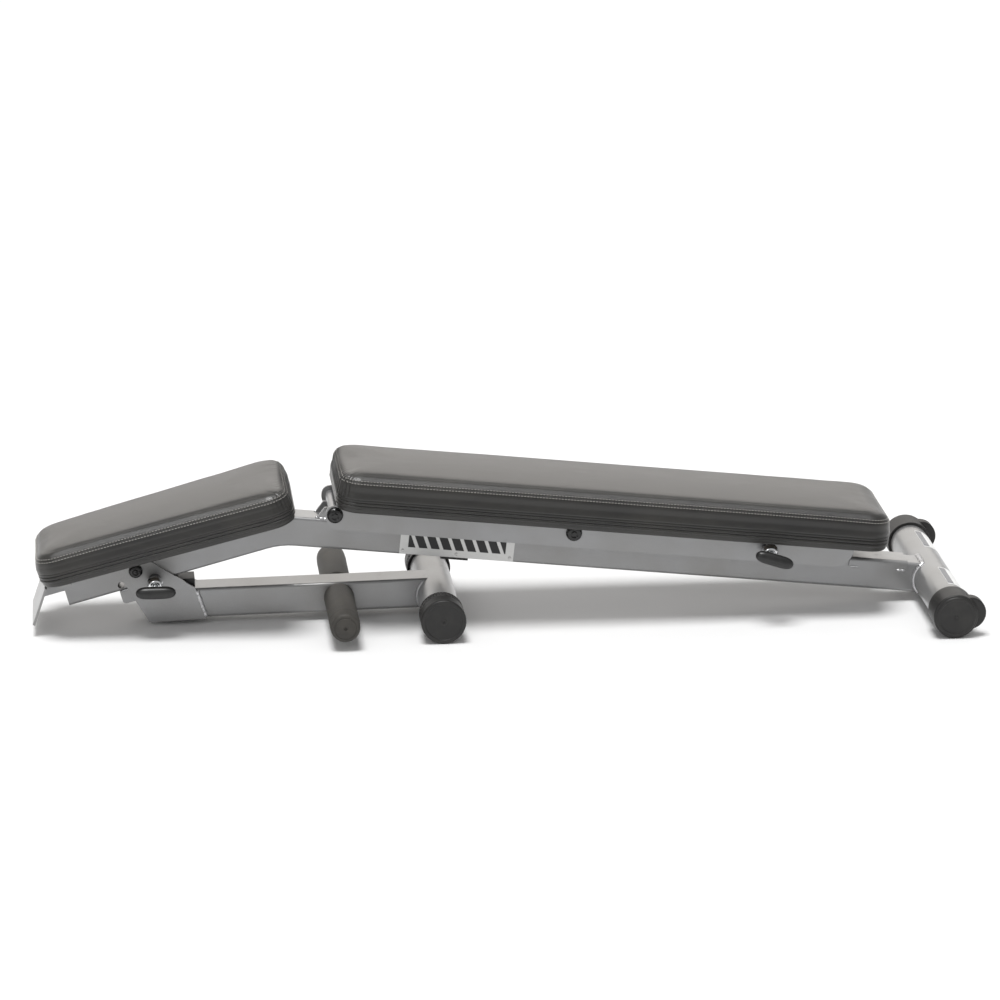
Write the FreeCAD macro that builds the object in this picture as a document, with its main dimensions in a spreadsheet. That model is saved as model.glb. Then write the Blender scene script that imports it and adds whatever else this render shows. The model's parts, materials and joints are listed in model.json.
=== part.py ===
"""Folding adjustable weight bench, drawn folded flat for storage.

Frame: X runs along the bench, the seat end at -X and the rear feet at +X; the user's left is -Y;
Z is up and the bench stands on Z = 0. The origin is under the middle of the folded bench.
"""
import FreeCAD, Part
import math
import os

import Sketcher

# Driving dimensions in millimetres and degrees. Each is written once and read everywhere else.
SIZES = {
    # square main tube, bent once under the gap between the pads
    "tube_side": 50.8, "tube_wall": 2.5, "tube_corner": 5.0, "bend_radius": 150.0,
    "rear_reach": 1110.0, "front_reach": 369.5, "rear_slope": 6.26, "front_slope": 14.95,
    # round cross feet and their rubber caps
    "foot_tube_radius": 32.5, "foot_tube_wall": 2.5, "cap_radius": 37.35, "cap_length": 50.0,
    "cap_grip": 20.0, "front_cap_grip": 42.0, "cap_round": 3.5,
    "rear_foot_half": 177.8, "front_foot_half": 120.8,
    # transport rollers set into the rear caps
    "roller_radius": 27.5, "roller_width": 20.0, "roller_out": 24.0, "roller_up": 3.0,
    "roller_gap": 1.0, "roller_inset": 24.0, "axle_radius": 4.0,
    # folding leg
    "leg_span": 843.0, "leg_slope": 0.75, "leg_rise": 4.4, "leg_tube_start": 402.0,
    "pivot_reach": 247.5, "pivot_rise": 3.3, "leg_opening": 105.0,
    "bracket_gap": 0.8, "bracket_thick": 4.8, "bracket_round": 27.0,
    "bolt_radius": 6.0, "bushing_radius": 9.5, "running_gap": 0.05, "cap_bolt_radius": 11.2,
    "cap_bolt_depth": 8.0, "bolt_stub": 4.0, "shoulder_out": 34.2, "shoulder_up": 9.1,
    "bracket_drop": 3.5, "bracket_lap": 17.0, "plug_flange": 4.0, "nose_length": 28.0,
    "nose_half": 19.0, "nose_depth": 22.0,
    "gusset_drop": 23.0, "gusset_thick": 4.0, "gusset_front": 35.5, "gusset_back": 40.0,
    # pull pins
    "lock_radius": 35.4, "lock_angle": -28.0, "pin_radius": 5.5, "pin_gap": 0.4,
    "pin_travel": 10.0, "housing_radius": 11.0, "housing_length": 22.0, "housing_wall": 2.5,
    "housing_floor": 3.0, "flange_thick": 2.0, "dome_radius": 14.0, "dome_height": 13.0,
    "rod_radius": 4.0, "handle_radius": 10.5, "handle_length": 66.0, "handle_out": 69.0,
    "back_handle_turn": 12.0,
    "spring_wire": 0.8, "spring_turns": 4.0,
    # foot pegs on the leg
    "peg_back": 163.0, "peg_bar_radius": 12.7, "grip_radius": 25.5, "grip_end": 195.0,
    "grip_round": 9.0,
    # backrest frame and hinge
    "hinge_reach": 1024.0, "hinge_rise": 44.5, "sleeve_radius": 9.5, "rail_inner": 55.5,
    "rail_thick": 4.5, "rail_round": 25.2, "rail_nose": 15.5, "rail_rear": 148.0,
    "rail_rear_round": 34.0, "sleeve_gap": 0.8, "strap_thick": 4.0, "strap_width": 40.0,
    "strap_half": 82.0, "back_cap_radius": 13.2, "back_cap_depth": 8.0,
    "lug_foot_half": 26.0, "lug_top_half": 15.0, "lug_thick": 6.0, "lug_out": 18.0,
    # prop strut and its rack
    "prop_length": 400.0, "strut_inner": 46.0, "strut_thick": 6.0, "strut_depth": 25.0,
    "foot_bar_radius": 8.0, "rack_inner": 17.0, "rack_thick": 5.0, "rack_gap": 0.4,
    "notch_radius": 8.4, "brace_radius": 6.0, "back_pin_reach": 295.0,
    # cushions
    "back_start": 96.0, "back_length": 932.0, "back_half": 110.5, "back_base": 64.8,
    "back_thick": 60.4, "back_corner": 38.0,
    "seat_start": -36.0, "seat_length": 437.0, "seat_half_rear": 124.0, "seat_half_front": 97.0,
    "seat_base": 33.4, "seat_thick": 55.0, "seat_corner": 40.0,
    "cushion_round": 13.0, "cover_thick": 2.5, "board_thick": 12.0, "board_inset": 9.0,
    # small plates
    "seat_strap_width": 18.0, "seat_strap_rear": 90.0, "seat_strap_front": 360.0,
    "seat_screw_out": 60.0, "back_strap_rear": 186.0, "back_strap_middle": 590.0,
    "back_strap_front": 950.0, "back_screw_out": 72.0, "end_plate_half": 65.0, "end_plate_thick": 4.0,
    "end_plate_length": 66.0, "end_plate_lean": 34.0, "tongue_half": 20.0, "tongue_depth": 22.0,
    "name_length": 192.0, "name_height": 41.0, "name_thick": 1.2, "name_start": 716.0,
    "name_low": 23.5, "rivet_inset": 6.0,
    "rivet_radius": 2.4, "screw_radius": 3.5, "screw_head": 7.0, "saddle_length": 100.0,
    "saddle_thick": 3.0, "saddle_depth": 13.0, "rest_length": 34.0, "rest_start": 163.0,
    "bumper_length": 46.0, "bumper_thick": 4.0, "bumper_reach": 791.0,
    # gaps, laps and small roundings
    "end_plate_out": 24.0, "end_plate_gap": 8.0, "plug_round": 3.0, "plug_length": 14.0,
    "plug_inset": 1.0, "tongue_inside": 50.0, "plate_round": 6.0, "saddle_setback": 14.0,
    "rack_margin": 16.0, "rack_round": 4.0, "notch_rise": 1.5, "cap_lip": 1.0,
    "roller_round": 2.5, "head_height": 4.0, "head_round": 1.5, "dome_round": 9.0,
    "pin_setback": 1.0, "full_round": 0.9, "strut_round": 0.99, "neck_wall": 3.0,
    "cap_bolt_round": 4.8, "bracket_lip": 3.0, "plug_margin": 1.0, "nose_lap": 6.0,
    "grip_gap": 0.3, "grip_lip": 3.0, "rest_width": 36.0, "rivet_high": 1.4,
    "rivet_round": 1.0, "screw_bite": 8.0, "foot_bar_gap": 1.5, "through_cut": 1000.0,
}
PROP_ANGLES = (0.0, 21.2, 32.0, 43.0, 52.0)
LEFT, RIGHT = -1.0, 1.0
OVERSHOOT = 1.0

S = type("Sizes", (), SIZES)
Vec = FreeCAD.Vector
Y_AXIS = Vec(0, 1, 0)
doc = FreeCAD.newDocument("weight_bench")


def fill_sheet(name, table):
    """Write a table of plain numbers into a sheet, one alias a row."""
    sheet = doc.addObject("Spreadsheet::Sheet", name)
    for row, (alias, value) in enumerate(table.items(), start=1):
        sheet.set(f"A{row}", alias)
        sheet.set(f"B{row}", f"{value:.6f}")
        sheet.setAlias(f"B{row}", alias)
    return sheet


fill_sheet("Sizes", SIZES)
corners_sheet = doc.addObject("Spreadsheet::Sheet", "Corners")
corner_rows = []


def corner_cell(alias, value):
    """Keep one worked-out coordinate in the Corners sheet and return its reference."""
    corner_rows.append(alias)
    row = len(corner_rows)
    corners_sheet.set(f"A{row}", alias)
    corners_sheet.set(f"B{row}", f"{value:.9f}")
    corners_sheet.setAlias(f"B{row}", alias)
    return f"Corners.{alias}"


# ---------------------------------------------------------------- frames of the sub-assemblies
def turn(angle):
    """Rotation about Y; positive lowers the local +X end."""
    return FreeCAD.Rotation(Y_AXIS, angle)


half_tube = S.tube_side / 2
rear_sin, rear_cos = math.sin(math.radians(S.rear_slope)), math.cos(math.radians(S.rear_slope))
front_sin, front_cos = math.sin(math.radians(S.front_slope)), math.cos(math.radians(S.front_slope))
end_lean = math.radians(S.end_plate_lean)
end_top_reach = S.front_reach + S.end_plate_out
end_top_rise = S.seat_base - S.end_plate_gap
end_low_reach = (end_top_reach + S.end_plate_length * math.sin(end_lean)
                 + S.end_plate_thick * math.cos(end_lean))
end_low_rise = (end_top_rise - S.end_plate_length * math.cos(end_lean)
                + S.end_plate_thick * math.sin(end_lean))
bend_x = -S.rear_reach * rear_cos
bend_z = S.cap_radius + S.rear_reach * rear_sin
rear_most = max(S.cap_radius, S.roller_out + S.roller_radius)
front_most = bend_x - end_low_reach * front_cos - end_low_rise * front_sin
middle_shift = -(rear_most + front_most) / 2

WORLD = FreeCAD.Placement(Vec(middle_shift, 0, S.cap_radius), FreeCAD.Rotation())
REAR = FreeCAD.Placement(Vec(middle_shift, 0, S.cap_radius), turn(S.rear_slope))
FRONT = FreeCAD.Placement(Vec(middle_shift + bend_x, 0, bend_z), turn(-S.front_slope))
LEG = FreeCAD.Placement(Vec(middle_shift - S.leg_span, 0, S.cap_radius), FreeCAD.Rotation())
LEG_TUBE = LEG * FreeCAD.Placement(Vec(0, 0, S.leg_rise), turn(-S.leg_slope))
pivot = FRONT.multVec(Vec(-S.pivot_reach, 0, S.pivot_rise))
PIVOT = FreeCAD.Placement(pivot, FreeCAD.Rotation())


def at(frame, x=0.0, y=0.0, z=0.0, rotation=None):
    """Placement at a point of a sub-assembly's frame, turned inside it where asked."""
    return frame * FreeCAD.Placement(Vec(x, y, z), rotation or FreeCAD.Rotation())


UPRIGHT = FreeCAD.Rotation(Vec(1, 0, 0), 90)      # local +Y points up
FLIPPED = FreeCAD.Rotation(Vec(0, 0, 1), 180)     # local +Y points to -Y


# ---------------------------------------------------------------- sketch and feature helpers
def body_plane(body, role):
    return next(item for item in body.Origin.OriginFeatures if item.Role == role)


def new_sketch(body, role, name):
    sketch = body.newObject("Sketcher::SketchObject", name)
    sketch.AttachmentSupport = (body_plane(body, role), [""])
    sketch.MapMode = "FlatFace"
    return sketch


def hold_point(sketch, geometry, position, key, point):
    """Fix one end point of a sketch edge by its two cells, or to an axis where it is zero."""
    for name, axis, value in (("DistanceX", -2, point.x), ("DistanceY", -1, point.y)):
        if abs(value) < 1e-7:
            sketch.addConstraint(Sketcher.Constraint("PointOnObject", geometry, position, axis))
            continue
        index = sketch.addConstraint(Sketcher.Constraint(name, geometry, position, value))
        alias = f"{key}_{'across' if axis == -2 else 'along'}_{geometry}_{position}"
        sketch.setExpression(f"Constraints[{index}]", corner_cell(alias, value))


def add_outline(sketch, key, corners):
    """Closed loop of lines through the corners; a corner with a third number is rounded by it."""
    points = [Vec(corner[0], corner[1], 0) for corner in corners]
    spans = []
    for index, corner in enumerate(corners):
        here, before, after = points[index], points[index - 1], points[(index + 1) % len(points)]
        radius = corner[2] if len(corner) > 2 else 0.0
        if radius <= 0:
            spans.append((here, here, None, 0.0))
            continue
        to_before, to_after = (before - here).normalize(), (after - here).normalize()
        half = to_before.getAngle(to_after) / 2
        reach = radius / math.tan(half)
        middle = (to_before + to_after).normalize()
        bulge = here + middle * (radius / math.sin(half) - radius)
        spans.append((here + to_before * reach, here + to_after * reach, bulge, radius))
    for index, (start, end, bulge, radius) in enumerate(spans):
        if bulge is not None:
            number = sketch.addGeometry(Part.Arc(start, bulge, end), False)
            hold_point(sketch, number, 1, key, sketch.getPoint(number, 1))
            hold_point(sketch, number, 2, key, sketch.getPoint(number, 2))
            held = sketch.addConstraint(Sketcher.Constraint("Radius", number, radius))
            sketch.setExpression(f"Constraints[{held}]", corner_cell(f"{key}_round_{number}", radius))
        following = spans[(index + 1) % len(spans)][0]
        if (following - end).Length > 1e-6:
            number = sketch.addGeometry(Part.LineSegment(end, following), False)
            hold_point(sketch, number, 1, key, end)
            hold_point(sketch, number, 2, key, following)


def add_circle(sketch, key, x, y, radius):
    number = sketch.addGeometry(Part.Circle(Vec(x, y, 0), Vec(0, 0, 1), radius), False)
    hold_point(sketch, number, 3, f"{key}_hole", Vec(x, y, 0))
    held = sketch.addConstraint(Sketcher.Constraint("Radius", number, radius))
    sketch.setExpression(f"Constraints[{held}]", corner_cell(f"{key}_radius_{number}", radius))


def rounded_box(half_x, half_y, radius):
    return [(half_x, -half_y, radius), (half_x, half_y, radius),
            (-half_x, half_y, radius), (-half_x, -half_y, radius)]


def thick_pad(body, sketch, key, length, symmetric=True):
    feature = body.newObject("PartDesign::Pad", f"{key}_pad")
    feature.Profile = sketch
    feature.Midplane = symmetric
    feature.setExpression("Length", corner_cell(f"{key}_length", length))
    return feature


def through_pocket(body, key, role, draw):
    """Cut a drawn outline right through the body, both ways from the plane."""
    sketch = new_sketch(body, role, f"{key}_cut_sketch")
    draw(sketch)
    feature = body.newObject("PartDesign::Pocket", f"{key}_cut")
    feature.Profile = sketch
    feature.Midplane = True
    feature.setExpression("Length", corner_cell(f"{key}_cut_length", S.through_cut))
    return feature


def side_plate(label, frame, y_middle, thickness, corners, holes=()):
    """Flat plate standing in the X-Z plane of a frame, centred at y_middle."""
    body = doc.addObject("PartDesign::Body", label)
    sketch = new_sketch(body, "XZ_Plane", f"{label}_sketch")
    add_outline(sketch, label, corners)
    for x, z, radius in holes:
        add_circle(sketch, label, x, z, radius)
    thick_pad(body, sketch, label, thickness)
    body.Placement = at(frame, 0, y_middle, 0)
    return body


def turned(label, placement, profile):
    """Solid of revolution about local Y; the profile lists (radius, distance along Y)."""
    body = doc.addObject("PartDesign::Body", label)
    sketch = new_sketch(body, "XY_Plane", f"{label}_sketch")
    add_outline(sketch, label, profile)
    feature = body.newObject("PartDesign::Revolution", f"{label}_turn")
    feature.Profile = sketch
    feature.ReferenceAxis = (sketch, ["V_Axis"])
    feature.Angle = 360
    body.Placement = placement
    return body


def ring(inner, outer, start, end):
    return [(inner, start), (outer, start), (outer, end), (inner, end)]


def box(label, placement, length, width, height):
    """Plain block centred across Y, with its length from X = 0 and its height from Z = 0."""
    block = doc.addObject("Part::Box", label)
    for name, value in (("Length", length), ("Width", width), ("Height", height)):
        block.setExpression(name, corner_cell(f"{label}_{name.lower()}", value))
    block.Placement = placement * FreeCAD.Placement(Vec(0, -width / 2, 0), FreeCAD.Rotation())
    return block


def drill(base, label, placement, radius, length):
    """Cut a round hole centred on a placement, its axis along the placement's Z."""
    tool = doc.addObject("Part::Cylinder", f"{label}_tool")
    tool.setExpression("Radius", corner_cell(f"{label}_tool_radius", radius))
    tool.setExpression("Height", corner_cell(f"{label}_tool_height", length))
    tool.Placement = placement * FreeCAD.Placement(Vec(0, 0, -length / 2), FreeCAD.Rotation())
    cut = doc.addObject("Part::Cut", label)
    cut.Base, cut.Tool = base, tool
    return cut


def fused(label, pieces):
    union = doc.addObject("Part::MultiFuse", label)
    union.Shapes = pieces
    return union


def group(label, pieces):
    """Identical separate solids under one name."""
    compound = doc.addObject("Part::Compound", label)
    compound.Links = pieces
    return compound


nodes = {}


def keep(name, item):
    item.Label = name
    nodes[name] = item
    return item


# ---------------------------------------------------------------- main frame
inner_half = half_tube - S.tube_wall
bend_turn = math.radians(S.rear_slope + S.front_slope)
bend_reach = S.bend_radius * math.tan(bend_turn / 2)
lock_holes = [math.radians(S.lock_angle), math.radians(S.lock_angle - S.leg_opening)]
hinge = REAR.multVec(Vec(-S.hinge_reach, 0, S.hinge_rise))


def pivot_polar(angle):
    """Point on the locking circle, in the front tube's own frame."""
    point = pivot + Vec(math.cos(angle), 0, math.sin(angle)) * S.lock_radius
    return FRONT.inverse().multVec(point)


def make_main_tube():
    body = doc.addObject("PartDesign::Body", "main_tube")
    profile = new_sketch(body, "YZ_Plane", "main_tube_section")
    add_outline(profile, "main_outer", rounded_box(half_tube, half_tube, S.tube_corner))
    hollow = new_sketch(body, "YZ_Plane", "main_tube_hollow")
    add_outline(hollow, "main_inner",
                rounded_box(inner_half, inner_half, S.tube_corner - S.tube_wall))
    path = new_sketch(body, "XZ_Plane", "main_tube_path")
    knee = S.front_reach
    falls = Vec(math.cos(bend_turn), -math.sin(bend_turn), 0)
    start, first = Vec(0, 0, 0), Vec(knee - bend_reach, 0, 0)
    second, end = Vec(knee, 0, 0) + falls * bend_reach, Vec(knee, 0, 0) + falls * S.rear_reach
    middle_turn = Vec(math.sin(bend_turn / 2), math.cos(bend_turn / 2) - 1, 0) * S.bend_radius
    path.addGeometry(Part.LineSegment(start, first), False)
    path.addGeometry(Part.Arc(first, first + middle_turn, second), False)
    path.addGeometry(Part.LineSegment(second, end), False)
    hold_point(path, 0, 1, "main_path", start)
    hold_point(path, 0, 2, "main_path", first)
    hold_point(path, 2, 1, "main_path", second)
    hold_point(path, 2, 2, "main_path", end)
    hold_point(path, 1, 1, "main_path", path.getPoint(1, 1))
    hold_point(path, 1, 2, "main_path", path.getPoint(1, 2))
    held = path.addConstraint(Sketcher.Constraint("Radius", 1, S.bend_radius))
    path.setExpression(f"Constraints[{held}]", "Sizes.bend_radius")
    for kind, section in (("AdditivePipe", profile), ("SubtractivePipe", hollow)):
        pipe = body.newObject(f"PartDesign::{kind}", f"main_tube_{section.Name}_pipe")
        pipe.Profile = section
        pipe.Spine = path
    body.Placement = at(FRONT, -S.front_reach)

    def saddle_and_holes(sketch):
        add_circle(sketch, "main_saddle", end.x, end.y, S.foot_tube_radius)
        add_circle(sketch, "main_pivot", S.front_reach - S.pivot_reach, S.pivot_rise,
                   S.bushing_radius)

    through_pocket(body, "main_saddle", "XZ_Plane", saddle_and_holes)

    def pin_holes(sketch):
        for angle in lock_holes:
            spot = pivot_polar(angle)
            add_circle(sketch, "main_lock", S.front_reach + spot.x, spot.z,
                       S.pin_radius + S.pin_gap)

    through_pocket(body, "main_lock", "XZ_Plane", pin_holes)
    return body


def make_foot_tube(label, frame, half_length, grip):
    reach = half_length + grip
    return turned(label, frame,
                  ring(S.foot_tube_radius - S.foot_tube_wall, S.foot_tube_radius, -reach, reach))


def cap_profile(grip):
    """Rubber cap with a closed outer end; Y = 0 is its open end."""
    return [(0, grip), (S.foot_tube_radius, grip), (S.foot_tube_radius, 0), (S.cap_radius, 0, S.cap_lip),
            (S.cap_radius, S.cap_length, S.cap_round), (0, S.cap_length)]


def make_front_cap(label, side):
    rotation = FLIPPED if side < 0 else FreeCAD.Rotation()
    place = at(LEG, 0, side * S.front_foot_half, 0, rotation)
    return turned(label, place, cap_profile(S.front_cap_grip))


def roller_place(side):
    return at(WORLD, S.roller_out, side * (S.rear_foot_half + S.roller_inset), S.roller_up,
              FLIPPED if side < 0 else None)


def make_rear_cap(label, side):
    rotation = FLIPPED if side < 0 else FreeCAD.Rotation()
    place = at(WORLD, 0, side * S.rear_foot_half, 0, rotation)
    blank = turned(f"{label}_blank", place, cap_profile(S.cap_grip))
    pocket = turned(f"{label}_pocket", roller_place(side),
                    [(0, -S.roller_gap), (S.roller_radius + S.roller_gap, -S.roller_gap),
                     (S.roller_radius + S.roller_gap, S.roller_width + S.roller_gap),
                     (0, S.roller_width + S.roller_gap)])
    bore = turned(f"{label}_bore", roller_place(side),
                  [(0, -S.roller_gap - OVERSHOOT), (S.axle_radius, -S.roller_gap - OVERSHOOT),
                   (S.axle_radius, S.roller_width + S.roller_gap + OVERSHOOT),
                   (0, S.roller_width + S.roller_gap + OVERSHOOT)])
    cut = doc.addObject("Part::Cut", label)
    cut.Base, cut.Tool = blank, fused(f"{label}_space", [pocket, bore])
    return cut


def make_roller(label, side):
    bore = S.axle_radius + S.running_gap
    return turned(label, roller_place(side),
                  [(bore, 0), (S.roller_radius, 0, S.roller_round),
                   (S.roller_radius, S.roller_width, S.roller_round),
                   (bore, S.roller_width)])


def make_axle(label, side):
    ends = S.roller_gap + OVERSHOOT
    return turned(label, roller_place(side),
                  [(0, -ends), (S.axle_radius, -ends), (S.axle_radius, S.roller_width + ends),
                   (0, S.roller_width + ends)])


def make_saddle():
    """Inverted channel over the rear end of the main tube."""
    outer = half_tube + S.saddle_thick
    low = half_tube - S.saddle_depth
    body = doc.addObject("PartDesign::Body", "rear_saddle")
    sketch = new_sketch(body, "YZ_Plane", "rear_saddle_sketch")
    add_outline(sketch, "rear_saddle",
                [(-outer, low), (-half_tube, low), (-half_tube, half_tube),
                 (half_tube, half_tube), (half_tube, low), (outer, low), (outer, outer, S.plate_round),
                 (-outer, outer, S.plate_round)])
    thick_pad(body, sketch, "rear_saddle", S.saddle_length, symmetric=False)
    body.Placement = at(REAR, -S.saddle_length - S.foot_tube_radius - S.saddle_setback)
    return body


def make_rack(label, side):
    """Upright strip with a round notch for each position of the prop."""
    low, high = half_tube, S.hinge_rise - S.foot_bar_radius - S.rack_gap
    notches = [S.hinge_reach - 2 * S.prop_length * math.cos(math.radians(angle))
               for angle in PROP_ANGLES]
    rear, front = notches[0] - S.rack_margin, notches[-1] + S.rack_margin
    body = doc.addObject("PartDesign::Body", label)
    sketch = new_sketch(body, "XZ_Plane", f"{label}_sketch")
    add_outline(sketch, label, [(-rear, low), (-rear, high, S.rack_round),
                                (-front, high, S.rack_round),
                                (-front, low)])
    thick_pad(body, sketch, label, S.rack_thick)

    def scallops(cut_sketch):
        for reach in notches:
            add_circle(cut_sketch, f"{label}_notch", -reach, high + S.notch_rise,
                       S.notch_radius)

    through_pocket(body, f"{label}_notch", "XZ_Plane", scallops)
    body.Placement = at(REAR, 0, side * (S.rack_inner + S.rack_thick / 2), 0)
    return body


def make_hinge_lug(label, side):
    """Lug whose top edge is hollowed to seat the sleeve."""
    body = doc.addObject("PartDesign::Body", label)
    sketch = new_sketch(body, "XZ_Plane", f"{label}_sketch")
    add_outline(sketch, label, [(-S.lug_foot_half, half_tube), (S.lug_foot_half, half_tube),
                                (S.lug_top_half, S.hinge_rise), (-S.lug_top_half, S.hinge_rise)])
    thick_pad(body, sketch, label, S.lug_thick)
    through_pocket(body, f"{label}_seat", "XZ_Plane",
                   lambda cut: add_circle(cut, f"{label}_seat", 0, S.hinge_rise, S.sleeve_radius))
    body.Placement = at(REAR, -S.hinge_reach, side * S.lug_out)
    return body


def make_gusset(label, side):
    """Plate under the main tube that stiffens it round the leg pivot."""
    low = -half_tube - S.gusset_drop
    front = -S.pivot_reach - S.gusset_front
    rear = -S.pivot_reach + S.gusset_back
    plate = side_plate(label, FRONT, side * (half_tube - S.gusset_thick / 2), S.gusset_thick,
                       [(front, -half_tube), (front, low, S.plate_round),
                        (rear - S.gusset_drop, low), (rear, -half_tube)])
    spot = pivot_polar(lock_holes[0])
    through_pocket(plate, f"{label}_lock", "XZ_Plane",
                   lambda cut: add_circle(cut, f"{label}_lock", spot.x, spot.z,
                                          S.pin_radius + S.pin_gap))
    return plate


def make_tongue():
    """Flat bar inside the upper half of the tube's open end, cut to meet the end plate."""
    top = inner_half
    low = top - S.tongue_depth

    def plate_reach(rise):
        return end_top_reach + (end_top_rise - rise) * math.tan(end_lean)

    body = doc.addObject("PartDesign::Body", "front_tongue")
    sketch = new_sketch(body, "XZ_Plane", "front_tongue_sketch")
    inside = S.front_reach - S.tongue_inside
    add_outline(sketch, "front_tongue", [(-inside, low), (-plate_reach(low), low),
                                         (-plate_reach(top), top), (-inside, top)])
    thick_pad(body, sketch, "front_tongue", 2 * S.tongue_half)
    body.Placement = FRONT
    return body


def make_end_plate():
    place = at(FRONT, -end_top_reach, 0, end_top_rise, turn(S.end_plate_lean))
    down = at(place, -S.end_plate_thick, 0, -S.end_plate_length)
    return box("front_end_plate", down, S.end_plate_thick, 2 * S.end_plate_half,
               S.end_plate_length)


def make_tube_plug():
    """Plug that fills the tube's open end below the tongue."""
    top = inner_half - S.tongue_depth
    body = doc.addObject("PartDesign::Body", "tube_end_plug")
    sketch = new_sketch(body, "YZ_Plane", "tube_end_plug_sketch")
    add_outline(sketch, "tube_end_plug",
                [(-inner_half, -inner_half, S.plug_round), (inner_half, -inner_half, S.plug_round),
                 (inner_half, top), (-inner_half, top)])
    thick_pad(body, sketch, "tube_end_plug", S.plug_length, symmetric=False)
    body.Placement = at(FRONT, -S.front_reach + S.plug_inset)
    return body


def make_seat_strap(label, reach):
    place = at(FRONT, -reach - S.seat_strap_width, 0, half_tube)
    return box(label, place, S.seat_strap_width, 2 * S.strap_half, S.seat_base - half_tube)


def screw_profile(length):
    """Pan head below Y = 0, shank above it."""
    return [(0, -S.head_height), (S.screw_head, -S.head_height, S.head_round), (S.screw_head, 0),
            (S.screw_radius, 0), (S.screw_radius, length), (0, length)]


def make_screw(label, frame, x, y, rise, length):
    return turned(label, at(frame, x, y, rise, UPRIGHT), screw_profile(length))


# ---------------------------------------------------------------- cushions
def cushion_plan(rear_half, front_half, length, corner, inset):
    """Plan outline, rear edge at X = 0 and front edge at -length."""
    return [(-inset, -rear_half + inset, corner - inset), (-inset, rear_half - inset, corner - inset),
            (-length + inset, front_half - inset, corner - inset),
            (-length + inset, -front_half + inset, corner - inset)]


def plan_block(label, key, plan, height):
    body = doc.addObject("PartDesign::Body", label)
    sketch = new_sketch(body, "XY_Plane", f"{key}_plan")
    add_outline(sketch, key, plan)
    return body, thick_pad(body, sketch, key, height, symmetric=False)


def round_top(body, block, key, height, radius):
    """Round every edge of the block's top face."""
    doc.recompute()
    top = [f"Edge{index}" for index, edge in enumerate(block.Shape.Edges, start=1)
           if all(abs(vertex.Z - height) < 1e-6 for vertex in edge.Vertexes)]
    fillet = body.newObject("PartDesign::Fillet", f"{key}_fillet")
    fillet.Base = (block, top)
    fillet.setExpression("Radius", corner_cell(f"{key}_fillet_radius", radius))
    body.Tip = fillet


def make_cushion(prefix, place, rear_half, front_half, length, corner, thickness):
    """Board, foam and stitched cover of one cushion, nested with no shared space."""
    cover, block = plan_block(f"{prefix}_cover", f"{prefix}_cover",
                              cushion_plan(rear_half, front_half, length, corner, 0), thickness)
    round_top(cover, block, f"{prefix}_cover", thickness, S.cushion_round)
    hollow = cushion_plan(rear_half, front_half, length, corner, S.cover_thick)
    room, room_block = plan_block(f"{prefix}_room", f"{prefix}_room", hollow,
                                  thickness - S.cover_thick)
    inner_round = S.cushion_round - S.cover_thick
    round_top(room, room_block, f"{prefix}_room", thickness - S.cover_thick, inner_round)
    foam, foam_block = plan_block(f"{prefix}_foam", f"{prefix}_foam", hollow,
                                  thickness - S.cover_thick)
    round_top(foam, foam_block, f"{prefix}_foam", thickness - S.cover_thick, inner_round)
    board_plan = cushion_plan(rear_half, front_half, length, corner, S.board_inset)
    board, _ = plan_block(f"{prefix}_board", f"{prefix}_board", board_plan, S.board_thick)
    board_space, _ = plan_block(f"{prefix}_board_space", f"{prefix}_board_space", board_plan,
                                S.board_thick)
    skin = doc.addObject("Part::Cut", f"{prefix}_skin")
    skin.Base, skin.Tool = cover, room
    padding = doc.addObject("Part::Cut", f"{prefix}_padding")
    padding.Base, padding.Tool = foam, board_space
    for item in (skin, padding, board):
        item.Placement = place
    return skin, padding, board


# ---------------------------------------------------------------- pull pins
def pin_place(frame, x, z, plate_face):
    """A pull pin's frame: Y = 0 on the plate's outer face and +Y outwards, on the left side."""
    return at(frame, x, -plate_face, z, FLIPPED)


def make_pin(prefix, place, plate_thick, handle_turn=0.0):
    """Housing, dome nut, plunger held out of the plate, its T-handle and its spring."""
    bore = S.pin_radius + S.running_gap
    length, room = S.housing_length, S.housing_radius - S.housing_wall
    neck = S.rod_radius + S.pin_gap
    keep(f"{prefix}_housing", turned(f"{prefix}_housing", place, [
        (bore, 0), (S.housing_radius, 0), (S.housing_radius, length), (room, length),
        (room, S.housing_floor), (bore, S.housing_floor)]))
    keep(f"{prefix}_dome", turned(f"{prefix}_dome", place, [
        (neck, length), (S.dome_radius, length), (S.dome_radius, length + S.dome_height, S.dome_round),
        (neck, length + S.dome_height)]))
    tip = S.pin_setback - plate_thick
    flange = S.housing_floor + S.pin_travel
    flange_top = flange + S.flange_thick
    rod_end = S.handle_out - S.handle_radius
    keep(f"{prefix}_plunger", turned(f"{prefix}_plunger", place, [
        (0, tip), (S.pin_radius, tip, S.head_round), (S.pin_radius, flange), (room - S.pin_gap, flange),
        (room - S.pin_gap, flange_top), (S.rod_radius, flange_top), (S.rod_radius, rod_end),
        (0, rod_end)]))
    half, handle_round = S.handle_length / 2, S.handle_radius * S.full_round
    across = turn(-handle_turn).multiply(FreeCAD.Rotation(Vec(0, 0, 1), 90))
    bar = turned(f"{prefix}_handle_bar", at(place, 0, S.handle_out, 0, across), [
        (0, -half), (S.handle_radius, -half, handle_round), (S.handle_radius, half, handle_round),
        (0, half)])
    neck_radius = S.rod_radius + S.neck_wall
    collar = turned(f"{prefix}_handle_neck", place, [
        (0, rod_end), (neck_radius, rod_end), (neck_radius, S.handle_out), (0, S.handle_out)])
    keep(f"{prefix}_handle", fused(f"{prefix}_handle", [bar, collar]))
    keep(f"{prefix}_spring", make_spring(f"{prefix}_spring", place, flange_top, length, room))


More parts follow.
